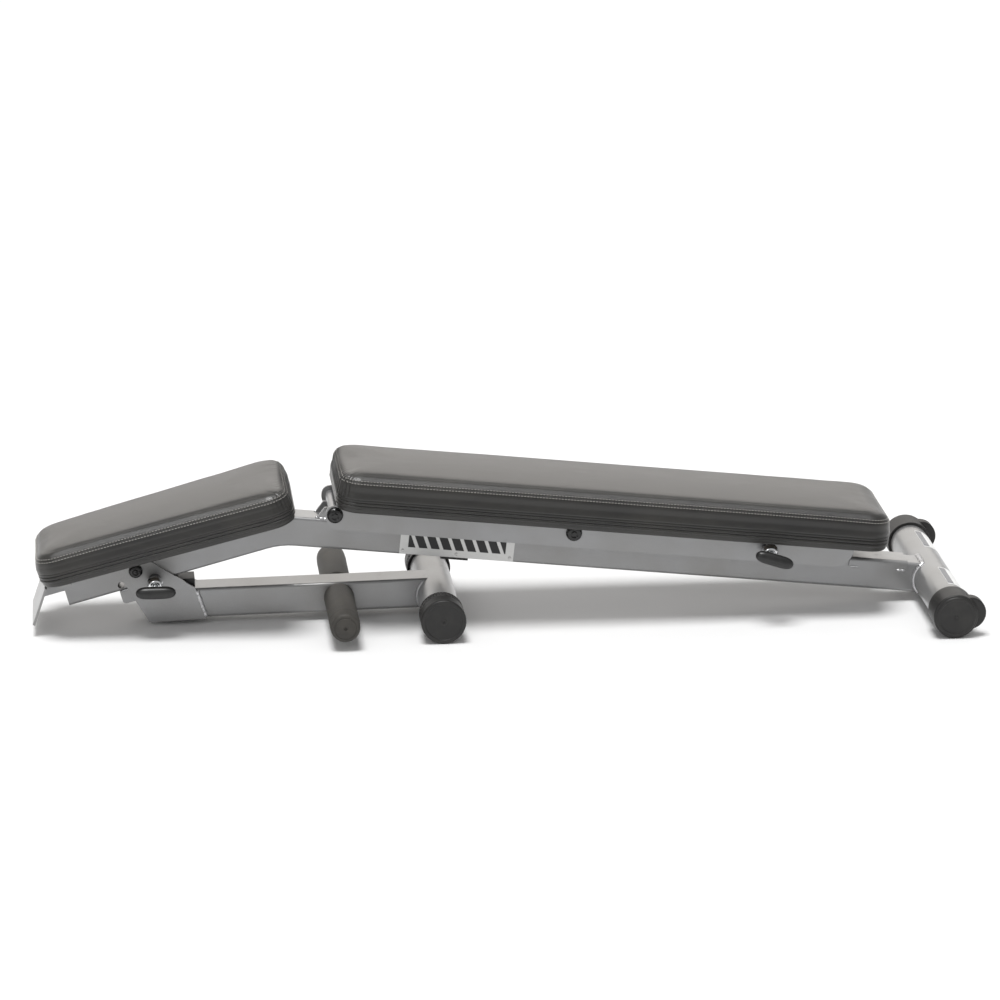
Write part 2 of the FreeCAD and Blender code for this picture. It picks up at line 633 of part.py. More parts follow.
def make_spring(label, place, low, high, room):
    """Spring round the rod, drawn as a ridged sleeve: its turns are pressed together."""
    middle = (room + S.rod_radius) / 2
    inner, outer, root = middle - S.spring_wire, middle + S.spring_wire, middle
    start, end = low + S.running_gap, high - S.running_gap
    pitch = (end - start) / S.spring_turns
    ridges = []
    for number in range(int(S.spring_turns)):
        base = start + number * pitch
        ridges += [(root, base), (outer, base + pitch / 2)]
    return turned(label, place, [(inner, start), *ridges, (root, end), (inner, end)])


def bolt_cap(label, place, radius):
    """Domed plastic cap pressed over the end of a pivot bolt."""
    return turned(label, place, [
        (0, S.bolt_stub), (S.bolt_radius, S.bolt_stub), (S.bolt_radius, 0), (radius, 0),
        (radius, S.cap_bolt_depth, S.cap_bolt_round), (0, S.cap_bolt_depth)])


def capped_bolt(label, frame, x, z, half_length):
    """Round bolt centred across the frame, with stubs for its end caps."""
    reach = half_length + S.bolt_stub
    return turned(label, at(frame, x, 0, z), [
        (0, -reach), (S.bolt_radius, -reach), (S.bolt_radius, reach), (0, reach)])


# ---------------------------------------------------------------- folding leg
def tangent_corner(radius, first, second):
    """Meeting point of two lines that touch a circle at the given angles, in degrees."""
    half = math.radians((first - second) / 2)
    middle = math.radians((first + second) / 2)
    reach = radius / math.cos(half)
    return reach * math.cos(middle), reach * math.sin(middle)


bracket_face = half_tube + S.bracket_gap
leg_half = bracket_face


def bracket_corners():
    """Outline about the pivot: round the bolt, out to the leg tube and under it."""
    tube_top = LEG_TUBE.multVec(Vec(-S.leg_tube_start, 0, half_tube)) - pivot
    tube_low = LEG_TUBE.multVec(Vec(-S.leg_tube_start, 0, -half_tube)) - pivot
    shoulder = Vec(S.shoulder_out, 0, S.shoulder_up)
    stop_line = 90 + S.front_slope + S.leg_opening
    shoulder_turn = math.degrees(math.acos(S.bracket_round / shoulder.Length))
    shoulder_line = math.degrees(math.atan2(shoulder.z, shoulder.x)) + shoulder_turn
    crown = tangent_corner(S.bracket_round, stop_line, shoulder_line)
    low = tube_low.z - S.bracket_drop
    stop = math.radians(stop_line)
    heel = (S.bracket_round - low * math.sin(stop)) / math.cos(stop)
    return [(tube_low.x + S.bracket_lap, low + S.bracket_lip), (heel, low), (*crown, S.bracket_round),
            (shoulder.x, shoulder.z), (tube_top.x, tube_top.z + S.bracket_lip)]


def make_bracket(label, side):
    holes = [(0, 0, S.bolt_radius)]
    if side == LEFT:
        angle = lock_holes[0]
        holes.append((S.lock_radius * math.cos(angle), S.lock_radius * math.sin(angle),
                      S.pin_radius + S.running_gap))
    return side_plate(label, PIVOT, side * (bracket_face + S.bracket_thick / 2), S.bracket_thick,
                      bracket_corners(), holes)


def make_leg_tube():
    body = doc.addObject("PartDesign::Body", "leg_tube")
    section = new_sketch(body, "YZ_Plane", "leg_tube_section")
    add_outline(section, "leg_outer", rounded_box(leg_half, half_tube, S.tube_corner))
    add_outline(section, "leg_inner", rounded_box(leg_half - S.tube_wall, inner_half,
                                                  S.tube_corner - S.tube_wall))
    thick_pad(body, section, "leg_tube", S.leg_tube_start, symmetric=False)
    body.Placement = at(LEG_TUBE, -S.leg_tube_start)
    centre = LEG_TUBE.inverse().multVec(LEG.Base)

    def saddle_and_peg(sketch):
        add_circle(sketch, "leg_saddle", S.leg_tube_start + centre.x, centre.z,
                   S.foot_tube_radius)
        add_circle(sketch, "leg_peg", S.leg_tube_start - S.peg_back, 0.0, S.peg_bar_radius)

    through_pocket(body, "leg_saddle", "XZ_Plane", saddle_and_peg)
    return body


def make_leg_plug():
    """End plug with a rubber nose that keeps the leg off the main tube."""
    low = -half_tube + S.plug_margin
    nose_low = half_tube - S.nose_lap
    flange = box("leg_plug_flange", at(LEG_TUBE, -S.leg_tube_start - S.plug_flange, 0, low),
                 S.plug_flange, 2 * (leg_half - S.plug_margin), half_tube + S.nose_lap - low)
    nose = box("leg_plug_nose", at(LEG_TUBE, -S.leg_tube_start - S.nose_length, 0, nose_low),
               S.nose_length, 2 * S.nose_half, S.nose_depth)
    return fused("leg_end_plug", [flange, nose])


def make_grip(label, side):
    start = leg_half + S.grip_gap
    length = S.grip_end - start
    rotation = FLIPPED if side < 0 else FreeCAD.Rotation()
    place = at(LEG_TUBE, -S.peg_back, side * start, 0, rotation)
    wall = S.grip_radius - S.peg_bar_radius
    return turned(label, place, [
        (S.peg_bar_radius, 0), (S.grip_radius, 0, S.grip_lip), (S.grip_radius, length, S.grip_round),
        (0, length), (0, length - wall), (S.peg_bar_radius, length - wall)])


def make_peg_bar():
    reach = S.grip_end - (S.grip_radius - S.peg_bar_radius)
    return turned("foot_bar", at(LEG_TUBE, -S.peg_back), ring(
        S.peg_bar_radius - S.tube_wall, S.peg_bar_radius, -reach, reach))


# ---------------------------------------------------------------- backrest and prop
rail_top = S.back_base - S.strap_thick
rail_face = S.rail_inner + S.rail_thick
strut_pivot_reach = S.hinge_reach - S.prop_length
foot_reach = S.hinge_reach - 2 * S.prop_length


def make_rail(label, side):
    rear, front = -S.rail_rear, -S.hinge_reach - S.rail_nose
    front_top_round = (rail_top - S.hinge_rise) * S.full_round
    holes = [(-S.hinge_reach, S.hinge_rise, S.bolt_radius),
             (-strut_pivot_reach, S.hinge_rise, S.bolt_radius)]
    if side == LEFT:
        holes.append((-S.back_pin_reach, S.hinge_rise, S.pin_radius + S.running_gap))
    low = S.hinge_rise - S.rail_round
    return side_plate(label, REAR, side * (S.rail_inner + S.rail_thick / 2), S.rail_thick,
                      [(rear, low, S.rail_rear_round), (rear, rail_top),
                       (front, rail_top, front_top_round), (front, low, S.rail_round)], holes)


def make_back_strap(label, reach):
    return box(label, at(REAR, -reach - S.strap_width / 2, 0, rail_top), S.strap_width,
               2 * S.strap_half, S.strap_thick)


def make_strut_bar(label, side):
    half = S.strut_depth / 2
    rounding = half * S.strut_round
    rear, front = -foot_reach + half, -strut_pivot_reach - half
    low, high = S.hinge_rise - half, S.hinge_rise + half
    holes = [(-strut_pivot_reach, S.hinge_rise, S.bolt_radius + S.running_gap),
             (-foot_reach, S.hinge_rise, S.foot_bar_radius),
             (-(strut_pivot_reach + foot_reach) / 2, S.hinge_rise, S.brace_radius)]
    if side == LEFT:
        holes.append((-S.back_pin_reach, S.hinge_rise, S.pin_radius + S.pin_gap))
    return side_plate(label, REAR, side * (S.strut_inner + S.strut_thick / 2), S.strut_thick,
                      [(rear, low, rounding), (rear, high, rounding), (front, high, rounding),
                       (front, low, rounding)], holes)


def make_cross_bar(label, reach, radius, half_length):
    return turned(label, at(REAR, -reach, 0, S.hinge_rise), [
        (0, -half_length), (radius, -half_length), (radius, half_length), (0, half_length)])


# ---------------------------------------------------------------- assembly
def both_sides(name, maker):
    keep(f"{name}_left", maker(f"{name}_left", LEFT))
    keep(f"{name}_right", maker(f"{name}_right", RIGHT))


def pair_group(name, maker):
    keep(name, group(name, [maker(f"{name}_a", LEFT), maker(f"{name}_b", RIGHT)]))


keep("main_tube", make_main_tube())
keep("rear_crosstube", make_foot_tube("rear_crosstube", WORLD, S.rear_foot_half, S.cap_grip))
both_sides("rear_cap", make_rear_cap)
both_sides("transport_roller", make_roller)
pair_group("roller_axles", make_axle)
keep("rear_saddle", make_saddle())
pair_group("rack_strips", make_rack)
pair_group("hinge_lugs", make_hinge_lug)
keep("hinge_sleeve", turned("hinge_sleeve", at(REAR, -S.hinge_reach, 0, S.hinge_rise), ring(
    S.bolt_radius + S.running_gap, S.sleeve_radius, -S.rail_inner + S.sleeve_gap,
    S.rail_inner - S.sleeve_gap)))
keep("rest_stop", box("rest_stop", at(REAR, -S.rest_start - S.rest_length, 0, half_tube),
                      S.rest_length, S.rest_width, rail_top - half_tube - S.rack_gap))
keep("frame_bumper", box("frame_bumper", at(REAR, -S.bumper_reach - S.bumper_length, 0,
                                            -half_tube - S.bumper_thick),
                         S.bumper_length, 2 * S.tongue_half, S.bumper_thick))
keep("pivot_bushing", turned("pivot_bushing", at(PIVOT), ring(
    S.bolt_radius + S.running_gap, S.bushing_radius, -half_tube, half_tube)))
pair_group("stop_gussets", make_gusset)
keep("front_tongue", make_tongue())
keep("tube_end_plug", make_tube_plug())
keep("front_end_plate", make_end_plate())

plate_place = at(REAR, -S.name_start - S.name_length, -half_tube - S.name_thick / 2, -S.name_low)
keep("nameplate", box("nameplate", plate_place, S.name_length, S.name_thick, S.name_height))
rivets = []
for across in (S.rivet_inset, S.name_length / 2, S.name_length - S.rivet_inset):
    for up in (S.rivet_inset, S.name_height - S.rivet_inset):
        spot = at(REAR, -S.name_start - across, -half_tube - S.name_thick, up - S.name_low, FLIPPED)
        rivets.append(turned(f"rivet_{len(rivets)}", spot, [
            (0, 0), (S.rivet_radius, 0), (S.rivet_radius, S.rivet_high, S.rivet_round),
            (0, S.rivet_high)]))
keep("nameplate_rivets", group("nameplate_rivets", rivets))


def fastened(prefix, frame, straps, board, places, strap_low, shank):
    """Drill straps and board for screws driven up from below, and add the screws."""
    screws = []
    for number, (reach, y) in enumerate(places):
        spot = at(frame, -reach, y, strap_low)
        for index, strap in enumerate(straps):
            if abs(reach - strap["reach"]) < 1.0:
                strap["item"] = drill(strap["item"], f"{prefix}_strap_{index}_{number}", spot,
                                      S.screw_radius, 2 * shank)
        board = drill(board, f"{prefix}_board_{number}", spot, S.screw_radius, 2 * shank)
        screws.append(make_screw(f"{prefix}_screw_{number}", frame, -reach, y, strap_low, shank))
    keep(f"{prefix}_straps", group(f"{prefix}_straps", [strap["item"] for strap in straps]))
    keep(f"{prefix}_board", board)
    keep(f"{prefix}_screws", group(f"{prefix}_screws", screws))


seat_place = at(FRONT, -S.seat_start, 0, S.seat_base)
seat_cover, seat_foam, seat_board = make_cushion(
    "seat", seat_place, S.seat_half_rear, S.seat_half_front, S.seat_length, S.seat_corner,
    S.seat_thick)
keep("seat_cover", seat_cover)
keep("seat_foam", seat_foam)
seat_straps = []
for reach in (S.seat_strap_rear, S.seat_strap_front):
    strap = make_seat_strap(f"seat_strap_{int(reach)}", reach - S.seat_strap_width / 2)
    seat_straps.append({"reach": reach, "item": strap})
fastened("seat", FRONT, seat_straps, seat_board,
         [(strap["reach"], side * S.seat_screw_out) for strap in seat_straps
          for side in (LEFT, RIGHT)], half_tube, S.seat_base - half_tube + S.screw_bite)

back_place = at(REAR, -S.back_start, 0, S.back_base)
back_cover, back_foam, back_board = make_cushion(
    "back", back_place, S.back_half, S.back_half, S.back_length, S.back_corner, S.back_thick)
keep("back_cover", back_cover)
keep("back_foam", back_foam)
both_sides("back_rail", make_rail)
back_straps = []
for reach in (S.back_strap_rear, S.back_strap_middle, S.back_strap_front):
    strap = make_back_strap(f"back_strap_{int(reach)}", reach)
    back_straps.append({"reach": reach, "item": strap})
fastened("back", REAR, back_straps, back_board,
         [(strap["reach"], side * S.back_screw_out) for strap in back_straps
          for side in (LEFT, RIGHT)], rail_top, S.strap_thick + S.screw_bite)

keep("hinge_bolt", capped_bolt("hinge_bolt", REAR, -S.hinge_reach, S.hinge_rise, rail_face))
strut_bolts, back_caps = [], []
for side in (LEFT, RIGHT):
    rotation = FLIPPED if side < 0 else FreeCAD.Rotation()
    spot = at(REAR, -strut_pivot_reach, side * S.strut_inner, S.hinge_rise, rotation)
    length = rail_face - S.strut_inner + S.bolt_stub
    strut_bolts.append(turned(f"strut_bolt_{len(strut_bolts)}", spot, [
        (0, 0), (S.bolt_radius, 0), (S.bolt_radius, length), (0, length)]))
    for reach in (S.hinge_reach, strut_pivot_reach):
        cap_spot = at(REAR, -reach, side * rail_face, S.hinge_rise, rotation)
        back_caps.append(bolt_cap(f"back_cap_{len(back_caps)}", cap_spot, S.back_cap_radius))
keep("strut_pivot_bolts", group("strut_pivot_bolts", strut_bolts))
keep("back_bolt_caps", group("back_bolt_caps", back_caps))
make_pin("back_pin", pin_place(REAR, -S.back_pin_reach, S.hinge_rise, rail_face), S.rail_thick,
         S.back_handle_turn)

pair_group("strut_bars", make_strut_bar)
keep("strut_foot_bar", make_cross_bar("strut_foot_bar", foot_reach, S.foot_bar_radius,
                                      S.rail_inner - S.foot_bar_gap))
keep("strut_brace", make_cross_bar("strut_brace", (strut_pivot_reach + foot_reach) / 2,
                                   S.brace_radius, S.strut_inner + S.strut_thick))

keep("leg_tube", make_leg_tube())
both_sides("leg_bracket", make_bracket)
keep("leg_end_plug", make_leg_plug())
keep("front_crosstube", make_foot_tube("front_crosstube", LEG, S.front_foot_half,
                                       S.front_cap_grip))
both_sides("front_cap", make_front_cap)
keep("foot_bar", make_peg_bar())
both_sides("foot_grip", make_grip)
bracket_outer = bracket_face + S.bracket_thick
keep("leg_pivot_bolt", capped_bolt("leg_pivot_bolt", PIVOT, 0, 0, bracket_outer))
keep("leg_bolt_caps", group("leg_bolt_caps", [
    bolt_cap("leg_cap_a", at(PIVOT, 0, -bracket_outer, 0, FLIPPED), S.cap_bolt_radius),
    bolt_cap("leg_cap_b", at(PIVOT, 0, bracket_outer, 0), S.cap_bolt_radius)]))
make_pin("leg_pin", pin_place(PIVOT, S.lock_radius * math.cos(lock_holes[0]),
                              S.lock_radius * math.sin(lock_holes[0]), bracket_outer),
         S.bracket_thick)

# ---------------------------------------------------------------- build, check and write
doc.recompute()
faults = [item.Name for item in doc.Objects if {"Invalid", "Error"} & set(item.State)]
if faults:
    raise RuntimeError(f"failed objects: {faults}")
for name, item in nodes.items():
    if item.Shape.isNull() or not item.Shape.isValid() or not item.Shape.Solids:
        raise RuntimeError(f"{name} has no valid solid")
os.makedirs("parts", exist_ok=True)
for name, item in nodes.items():
    item.Shape.exportStep(os.path.join("parts", f"{name}.step"))
print(len(nodes), "nodes; pivot", [round(v, 3) for v in pivot], "hinge", [round(v, 3) for v in hinge])
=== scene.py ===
import json
import logging
import math
from dataclasses import dataclass, replace
from enum import Enum

import bmesh
import bpy
import numpy as np
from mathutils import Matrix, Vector

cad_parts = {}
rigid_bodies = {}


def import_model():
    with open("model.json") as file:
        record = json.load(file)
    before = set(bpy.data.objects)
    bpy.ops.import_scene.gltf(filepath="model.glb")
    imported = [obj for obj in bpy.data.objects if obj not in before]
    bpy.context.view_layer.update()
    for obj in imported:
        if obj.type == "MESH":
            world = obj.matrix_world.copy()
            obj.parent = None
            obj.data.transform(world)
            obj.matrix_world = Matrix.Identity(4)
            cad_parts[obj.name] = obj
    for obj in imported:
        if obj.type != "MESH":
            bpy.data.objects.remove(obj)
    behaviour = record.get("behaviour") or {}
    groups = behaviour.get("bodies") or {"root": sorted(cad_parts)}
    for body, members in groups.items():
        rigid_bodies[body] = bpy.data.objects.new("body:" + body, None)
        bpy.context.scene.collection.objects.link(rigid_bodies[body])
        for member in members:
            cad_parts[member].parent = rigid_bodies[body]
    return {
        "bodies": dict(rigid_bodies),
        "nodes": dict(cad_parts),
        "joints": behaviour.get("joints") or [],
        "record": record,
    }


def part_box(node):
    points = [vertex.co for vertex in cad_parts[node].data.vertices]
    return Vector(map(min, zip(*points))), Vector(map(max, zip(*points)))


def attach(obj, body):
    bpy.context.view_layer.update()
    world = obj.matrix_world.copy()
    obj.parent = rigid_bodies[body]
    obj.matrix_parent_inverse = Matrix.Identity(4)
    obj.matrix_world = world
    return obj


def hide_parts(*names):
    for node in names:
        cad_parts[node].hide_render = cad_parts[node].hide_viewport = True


LOG = logging.getLogger("weight_bench")


# ------------------------------------------------------------------ frames and meshes
class Side(Enum):
    """Which side of the bench a piece stands on; the value is the sign of its Y."""

    LEFT = -1.0
    RIGHT = 1.0


class GatheredEnd(Enum):
    """The end of a cushion whose cover is drawn into gathers; the value is its place along X."""

    REAR = 0.0
    FRONT = 1.0


@dataclass(frozen=True)
class SlopedFrame:
    """A frame turned about Y inside the row frame; a positive slope lowers its +X end."""

    x: float
    z: float
    slope: float = 0.0

    def place(self, points: np.ndarray) -> np.ndarray:
        """Carry local points to the row frame.

        Args:
            points: array whose last axis is local X, Y, Z in metres.
        Returns:
            The same points in the row frame.
        """
        cosine, sine = math.cos(math.radians(self.slope)), math.sin(math.radians(self.slope))
        along, across, up = points[..., 0], points[..., 1], points[..., 2]
        return np.stack([self.x + along * cosine + up * sine, across,
                         self.z - along * sine + up * cosine], axis=-1)

    def local(self, points: np.ndarray) -> np.ndarray:
        """Carry points of the row frame back to this frame."""
        return SlopedFrame(0.0, 0.0, -self.slope).place(points - np.array([self.x, 0.0, self.z]))

    def moved(self, along: float, up: float) -> "SlopedFrame":
        """The same slope with its origin at a local point."""
        spot = self.place(np.array([along, 0.0, up]))
        return SlopedFrame(float(spot[0]), float(spot[2]), self.slope)


def grid_quads(rows: int, columns: int, closed: bool) -> np.ndarray:
    """Quads between neighbouring rows and columns of a grid stored row by row.

    Args:
        rows: number of grid rows.
        columns: number of grid columns.
        closed: whether the last column joins the first.
    Returns:
        Array of four corner numbers for each quad.
    """
    row = np.arange(rows - 1)[:, None]
    column = np.arange(columns if closed else columns - 1)[None, :]
    following = (column + 1) % columns
    corners = [row * columns + column, row * columns + following,
               (row + 1) * columns + following, (row + 1) * columns + column]
    return np.stack(corners, axis=-1).reshape(-1, 4)


def mesh_piece(name: str, points: np.ndarray, quads: np.ndarray, smooth: bool = True,
               weld: float = 1e-5) -> bpy.types.Object:
    """Make a mesh piece, close its poles and turn its faces outwards.

    Args:
        name: name of the piece.
        points: corner positions in the row frame.
        quads: four corner numbers for each face.
        smooth: whether its faces are shaded smooth.
        weld: distance under which corners are one.
    Returns:
        The piece, at the origin.
    """
    mesh = bpy.data.meshes.new(name)
    mesh.vertices.add(len(points))
    mesh.vertices.foreach_set("co", np.asarray(points, np.float32).ravel())
    mesh.loops.add(4 * len(quads))
    mesh.loops.foreach_set("vertex_index", np.asarray(quads, np.int32).ravel())
    mesh.polygons.add(len(quads))
    mesh.polygons.foreach_set("loop_start", np.arange(0, 4 * len(quads), 4, dtype=np.int32))
    mesh.update(calc_edges=True)
    shape = bmesh.new()
    shape.from_mesh(mesh)
    bmesh.ops.remove_doubles(shape, verts=shape.verts, dist=weld)
    bmesh.ops.dissolve_degenerate(shape, edges=shape.edges, dist=weld / 2)
    bmesh.ops.recalc_face_normals(shape, faces=shape.faces)
    shape.to_mesh(mesh)
    shape.free()
    mesh.polygons.foreach_set("use_smooth", np.full(len(mesh.polygons), smooth))
    piece = bpy.data.objects.new(name, mesh)
    bpy.context.scene.collection.objects.link(piece)
    return piece


def corner_places(mesh: bpy.types.Mesh) -> np.ndarray:
    """Corner positions of a mesh."""
    places = np.empty(3 * len(mesh.vertices))
    mesh.vertices.foreach_get("co", places)
    return places.reshape(-1, 3)


def matched_corners(points: np.ndarray, corners: np.ndarray) -> np.ndarray:
    """Find each grid point among the corners of a mesh in which doubles were joined.

    Positions are rounded to 0.1 mm and coded as x + 131 y + 17161 z.

    Args:
        points: grid points.
        corners: corners of the mesh.
    Returns:
        The number of each point's corner.
    """
    weights = [1.0, 131.0, 17161.0]
    code = (np.round(points, 4) * weights).sum(1)
    corner_code = (np.round(corners, 4) * weights).sum(1)
    order = np.argsort(corner_code)
    return order[np.clip(np.searchsorted(corner_code[order], code), 0, len(order) - 1)]


def rounded_path(corners: list[tuple[float, float, float]], closed: bool,
                 steps: int = 9) -> np.ndarray:
    """Straight runs joined by arcs: each corner (x, y, radius) is cut by a tangent arc.

    Args:
        corners: corner positions and their radii.
        closed: whether the last corner joins the first.
        steps: points on each arc.
    Returns:
        The points in order.
    """
    spots = np.array([corner[:2] for corner in corners], float)
    found = []
    for index, (x, y, radius) in enumerate(corners):
        here = np.array([x, y])
        if radius <= 0 or (not closed and index in (0, len(corners) - 1)):
            found.append(here[None])
            continue
        before = spots[index - 1] - here
        after = spots[(index + 1) % len(spots)] - here
        before, after = before / np.linalg.norm(before), after / np.linalg.norm(after)
        half = math.acos(float(np.clip(before @ after, -1, 1))) / 2
        reach = radius / math.tan(half)
        centre = here + (before + after) / np.linalg.norm(before + after) * radius / math.sin(half)
        first, last = here + before * reach - centre, here + after * reach - centre
        turn = math.atan2(first[0] * last[1] - first[1] * last[0], float(first @ last))
        angles = np.linspace(0, turn, steps)[:, None]
        normal = np.array([-first[1], first[0]])
        found.append(centre + first * np.cos(angles) + normal * np.sin(angles))
    return np.concatenate(found)


def spaced(points: np.ndarray, count: int, closed: bool) -> np.ndarray:
    """Points at equal steps of arc length along a line.

    Args:
        points: the line's points; columns past the third are carried along with them.
        count: how many to return.
        closed: whether the line joins its own start.
    Returns:
        The new points.
    """
    line = np.concatenate([points, points[:1]]) if closed else points
    length = np.concatenate([[0.0], np.cumsum(np.linalg.norm(np.diff(line[:, :3], axis=0), axis=1))])
    wanted = np.linspace(0, length[-1], count, endpoint=not closed)
    return np.stack([np.interp(wanted, length, line[:, axis]) for axis in range(line.shape[1])],
                    axis=-1)


def line_length(points: np.ndarray) -> float:
    """Length of a line of points."""
    return float(np.linalg.norm(np.diff(points, axis=0), axis=1).sum())


def turned_piece(name: str, profile: np.ndarray, centre: tuple[float, float, float], side: Side,
                 count: int = 64, ribs: int = 0, rib_depth: float = 0.0,
                 rib_span: tuple[float, float] = (0.0, 0.0)) -> bpy.types.Object:
    """Carry a (radius, height) profile round an axis along Y.

    The radius is cut by a cosine of the angle inside rib_span, which makes moulded ribs.

    Args:
        name: name of the piece.
        profile: rows of radius and height, from the outer pole to the inner edge or pole.
        centre: point on the axis at height 0.
        side: the way that heights run.
        count: columns round the axis.
        ribs: number of ribs.
        rib_depth: depth of the ribs.
        rib_span: heights between which the ribs run.
    Returns:
        The piece.
    """
    angle = np.linspace(0, 2 * math.pi, count, endpoint=False)[None, :]
    radius, height = profile[:, 0][:, None], profile[:, 1][:, None]
    ribbed = (height > rib_span[0]) & (height < rib_span[1]) & (radius > 0.9 * radius.max())
    cut = rib_depth * (0.5 - 0.5 * np.cos(ribs * angle)) * ribbed
    wide = radius - cut
    points = np.stack([centre[0] + wide * np.cos(angle),
                       centre[1] + side.value * (height + 0 * angle),
                       centre[2] + wide * np.sin(angle)], axis=-1)
    return mesh_piece(name, points.reshape(-1, 3), grid_quads(len(profile), count, True))


def rod_template(stations: np.ndarray, wide: float, high: float,
                 count: int = 6) -> tuple[np.ndarray, np.ndarray]:
    """A short rod along X: an ellipse at each station, scaled by the station's share.

    Args:
        stations: rows of place along X and share of the full radius.
        wide: its radius across.
        high: its radius upwards.
        count: sides of the rod.
    Returns:
        Corner positions and faces.
    """
    angle = np.linspace(0, 2 * math.pi, count, endpoint=False)[None]
    place, share = stations[:, 0][:, None], stations[:, 1][:, None]
    points = np.stack([place + 0 * angle, wide * share * np.cos(angle),
                       high * share * np.sin(angle)], -1)
    return points.reshape(-1, 3), grid_quads(len(stations), count, True)


def repeated(name: str, template: np.ndarray, quads: np.ndarray, spots: np.ndarray,
             along: np.ndarray, outward: np.ndarray) -> bpy.types.Object:
    """Copy a small template to many spots: its X follows the line and its Z the surface normal.

    Args:
        name: name of the piece.
        template: corner positions of one copy.
        quads: faces of one copy.
        spots: place of each copy.
        along: direction of the line at each spot.
        outward: surface normal at each spot.
    Returns:
        One piece with all the copies.
    """
    along = along / np.linalg.norm(along, axis=1, keepdims=True)
    across = np.cross(outward, along)
    across = across / np.linalg.norm(across, axis=1, keepdims=True)
    outward = np.cross(along, across)
    axes = np.stack([along, across, outward], axis=1)
    points = spots[:, None, :] + np.einsum("tk,nkc->ntc", template, axes)
    faces = quads[None] + (np.arange(len(spots)) * len(template))[:, None, None]
    return mesh_piece(name, points.reshape(-1, 3), faces.reshape(-1, 4), weld=1e-7)


def weld_bead(name: str, path: np.ndarray, outward: np.ndarray, radius: float,
              closed: bool) -> bpy.types.Object:
    """A rippled bead: a circle carried along a path, its radius swelling once per ripple.

    The ends of an open bead shrink to points. Slow sines make the ripples uneven.

    Args:
        name: name of the piece.
        path: points along the joint.
        outward: surface normal at each point.
        radius: mean radius of the bead.
        closed: whether the path joins its own start.
    Returns:
        The piece.
    """
    length = line_length(path) + (float(np.linalg.norm(path[0] - path[-1])) if closed else 0.0)
    count = max(12, int(length / 0.0007))
    line = spaced(np.concatenate([path, outward], axis=1), count, closed)
    spots, normal = line[:, :3], line[:, 3:]
    tangent = (np.roll(spots, -1, 0) - np.roll(spots, 1, 0)) if closed else np.gradient(spots, axis=0)
    tangent = tangent / np.linalg.norm(tangent, axis=1, keepdims=True)
    across = np.cross(tangent, normal)
    across = across / np.linalg.norm(across, axis=1, keepdims=True)
    normal = np.cross(across, tangent)
    step = np.arange(count) * length / count
    ripple = 1 + 0.16 * np.abs(np.sin(step * math.pi / 0.0034)) + 0.09 * np.sin(step * 437.0) \
        + 0.06 * np.sin(step * 1013.0 + 1.0)
    if not closed:
        ripple = ripple * np.clip(np.minimum(np.arange(count), count - 1 - np.arange(count)) / 4, 0, 1)
    angle = np.linspace(0, 2 * math.pi, 8, endpoint=False)[None, :, None]
    reach = (radius * ripple)[:, None, None]
    points = spots[:, None] + reach * (across[:, None] * np.cos(angle)
                                       + 0.62 * normal[:, None] * np.sin(angle))
    if closed:
        points = np.concatenate([points, points[:1]])
    return mesh_piece(name, points.reshape(-1, 3), grid_quads(len(points), 8, True))


# ------------------------------------------------------------------ shader expressions
class Signal:
    """A socket that adds Math nodes when numbers or sockets are combined with it."""

    def __init__(self, shader: "Shader", socket: bpy.types.NodeSocket) -> None:
        """Wrap one output socket."""
        self.shader, self.socket = shader, socket

    def _math(self, operation: str, *values: object) -> "Signal":
        """Add one Math node."""
        return self.shader.node("ShaderNodeMath", {"operation": operation}, dict(enumerate(values)))

    def __add__(self, other: object) -> "Signal":
        """Sum."""
        return self._math("ADD", self, other)

    def __radd__(self, other: object) -> "Signal":
        """Sum with a number first."""
        return self._math("ADD", other, self)

    def __sub__(self, other: object) -> "Signal":
        """Difference."""
        return self._math("SUBTRACT", self, other)

    def __rsub__(self, other: object) -> "Signal":
        """Difference with a number first."""
        return self._math("SUBTRACT", other, self)

    def __mul__(self, other: object) -> "Signal":
        """Product."""
        return self._math("MULTIPLY", self, other)

    def __rmul__(self, other: object) -> "Signal":
        """Product with a number first."""
        return self._math("MULTIPLY", other, self)

    def above(self, edge: float, width: float) -> "Signal":
        """0 under the edge, 1 over it, with a ramp of the given width between."""
        ramp = self.shader.node("ShaderNodeMapRange", {"clamp": True},
                                {"Value": self, "From Min": edge - width / 2,
                                 "From Max": edge + width / 2})
        return ramp

    def wrapped(self, period: float) -> "Signal":
        """Distance into the current repeat of a period, from 0 to 1."""
        return self._math("FRACT", self * (1.0 / period))


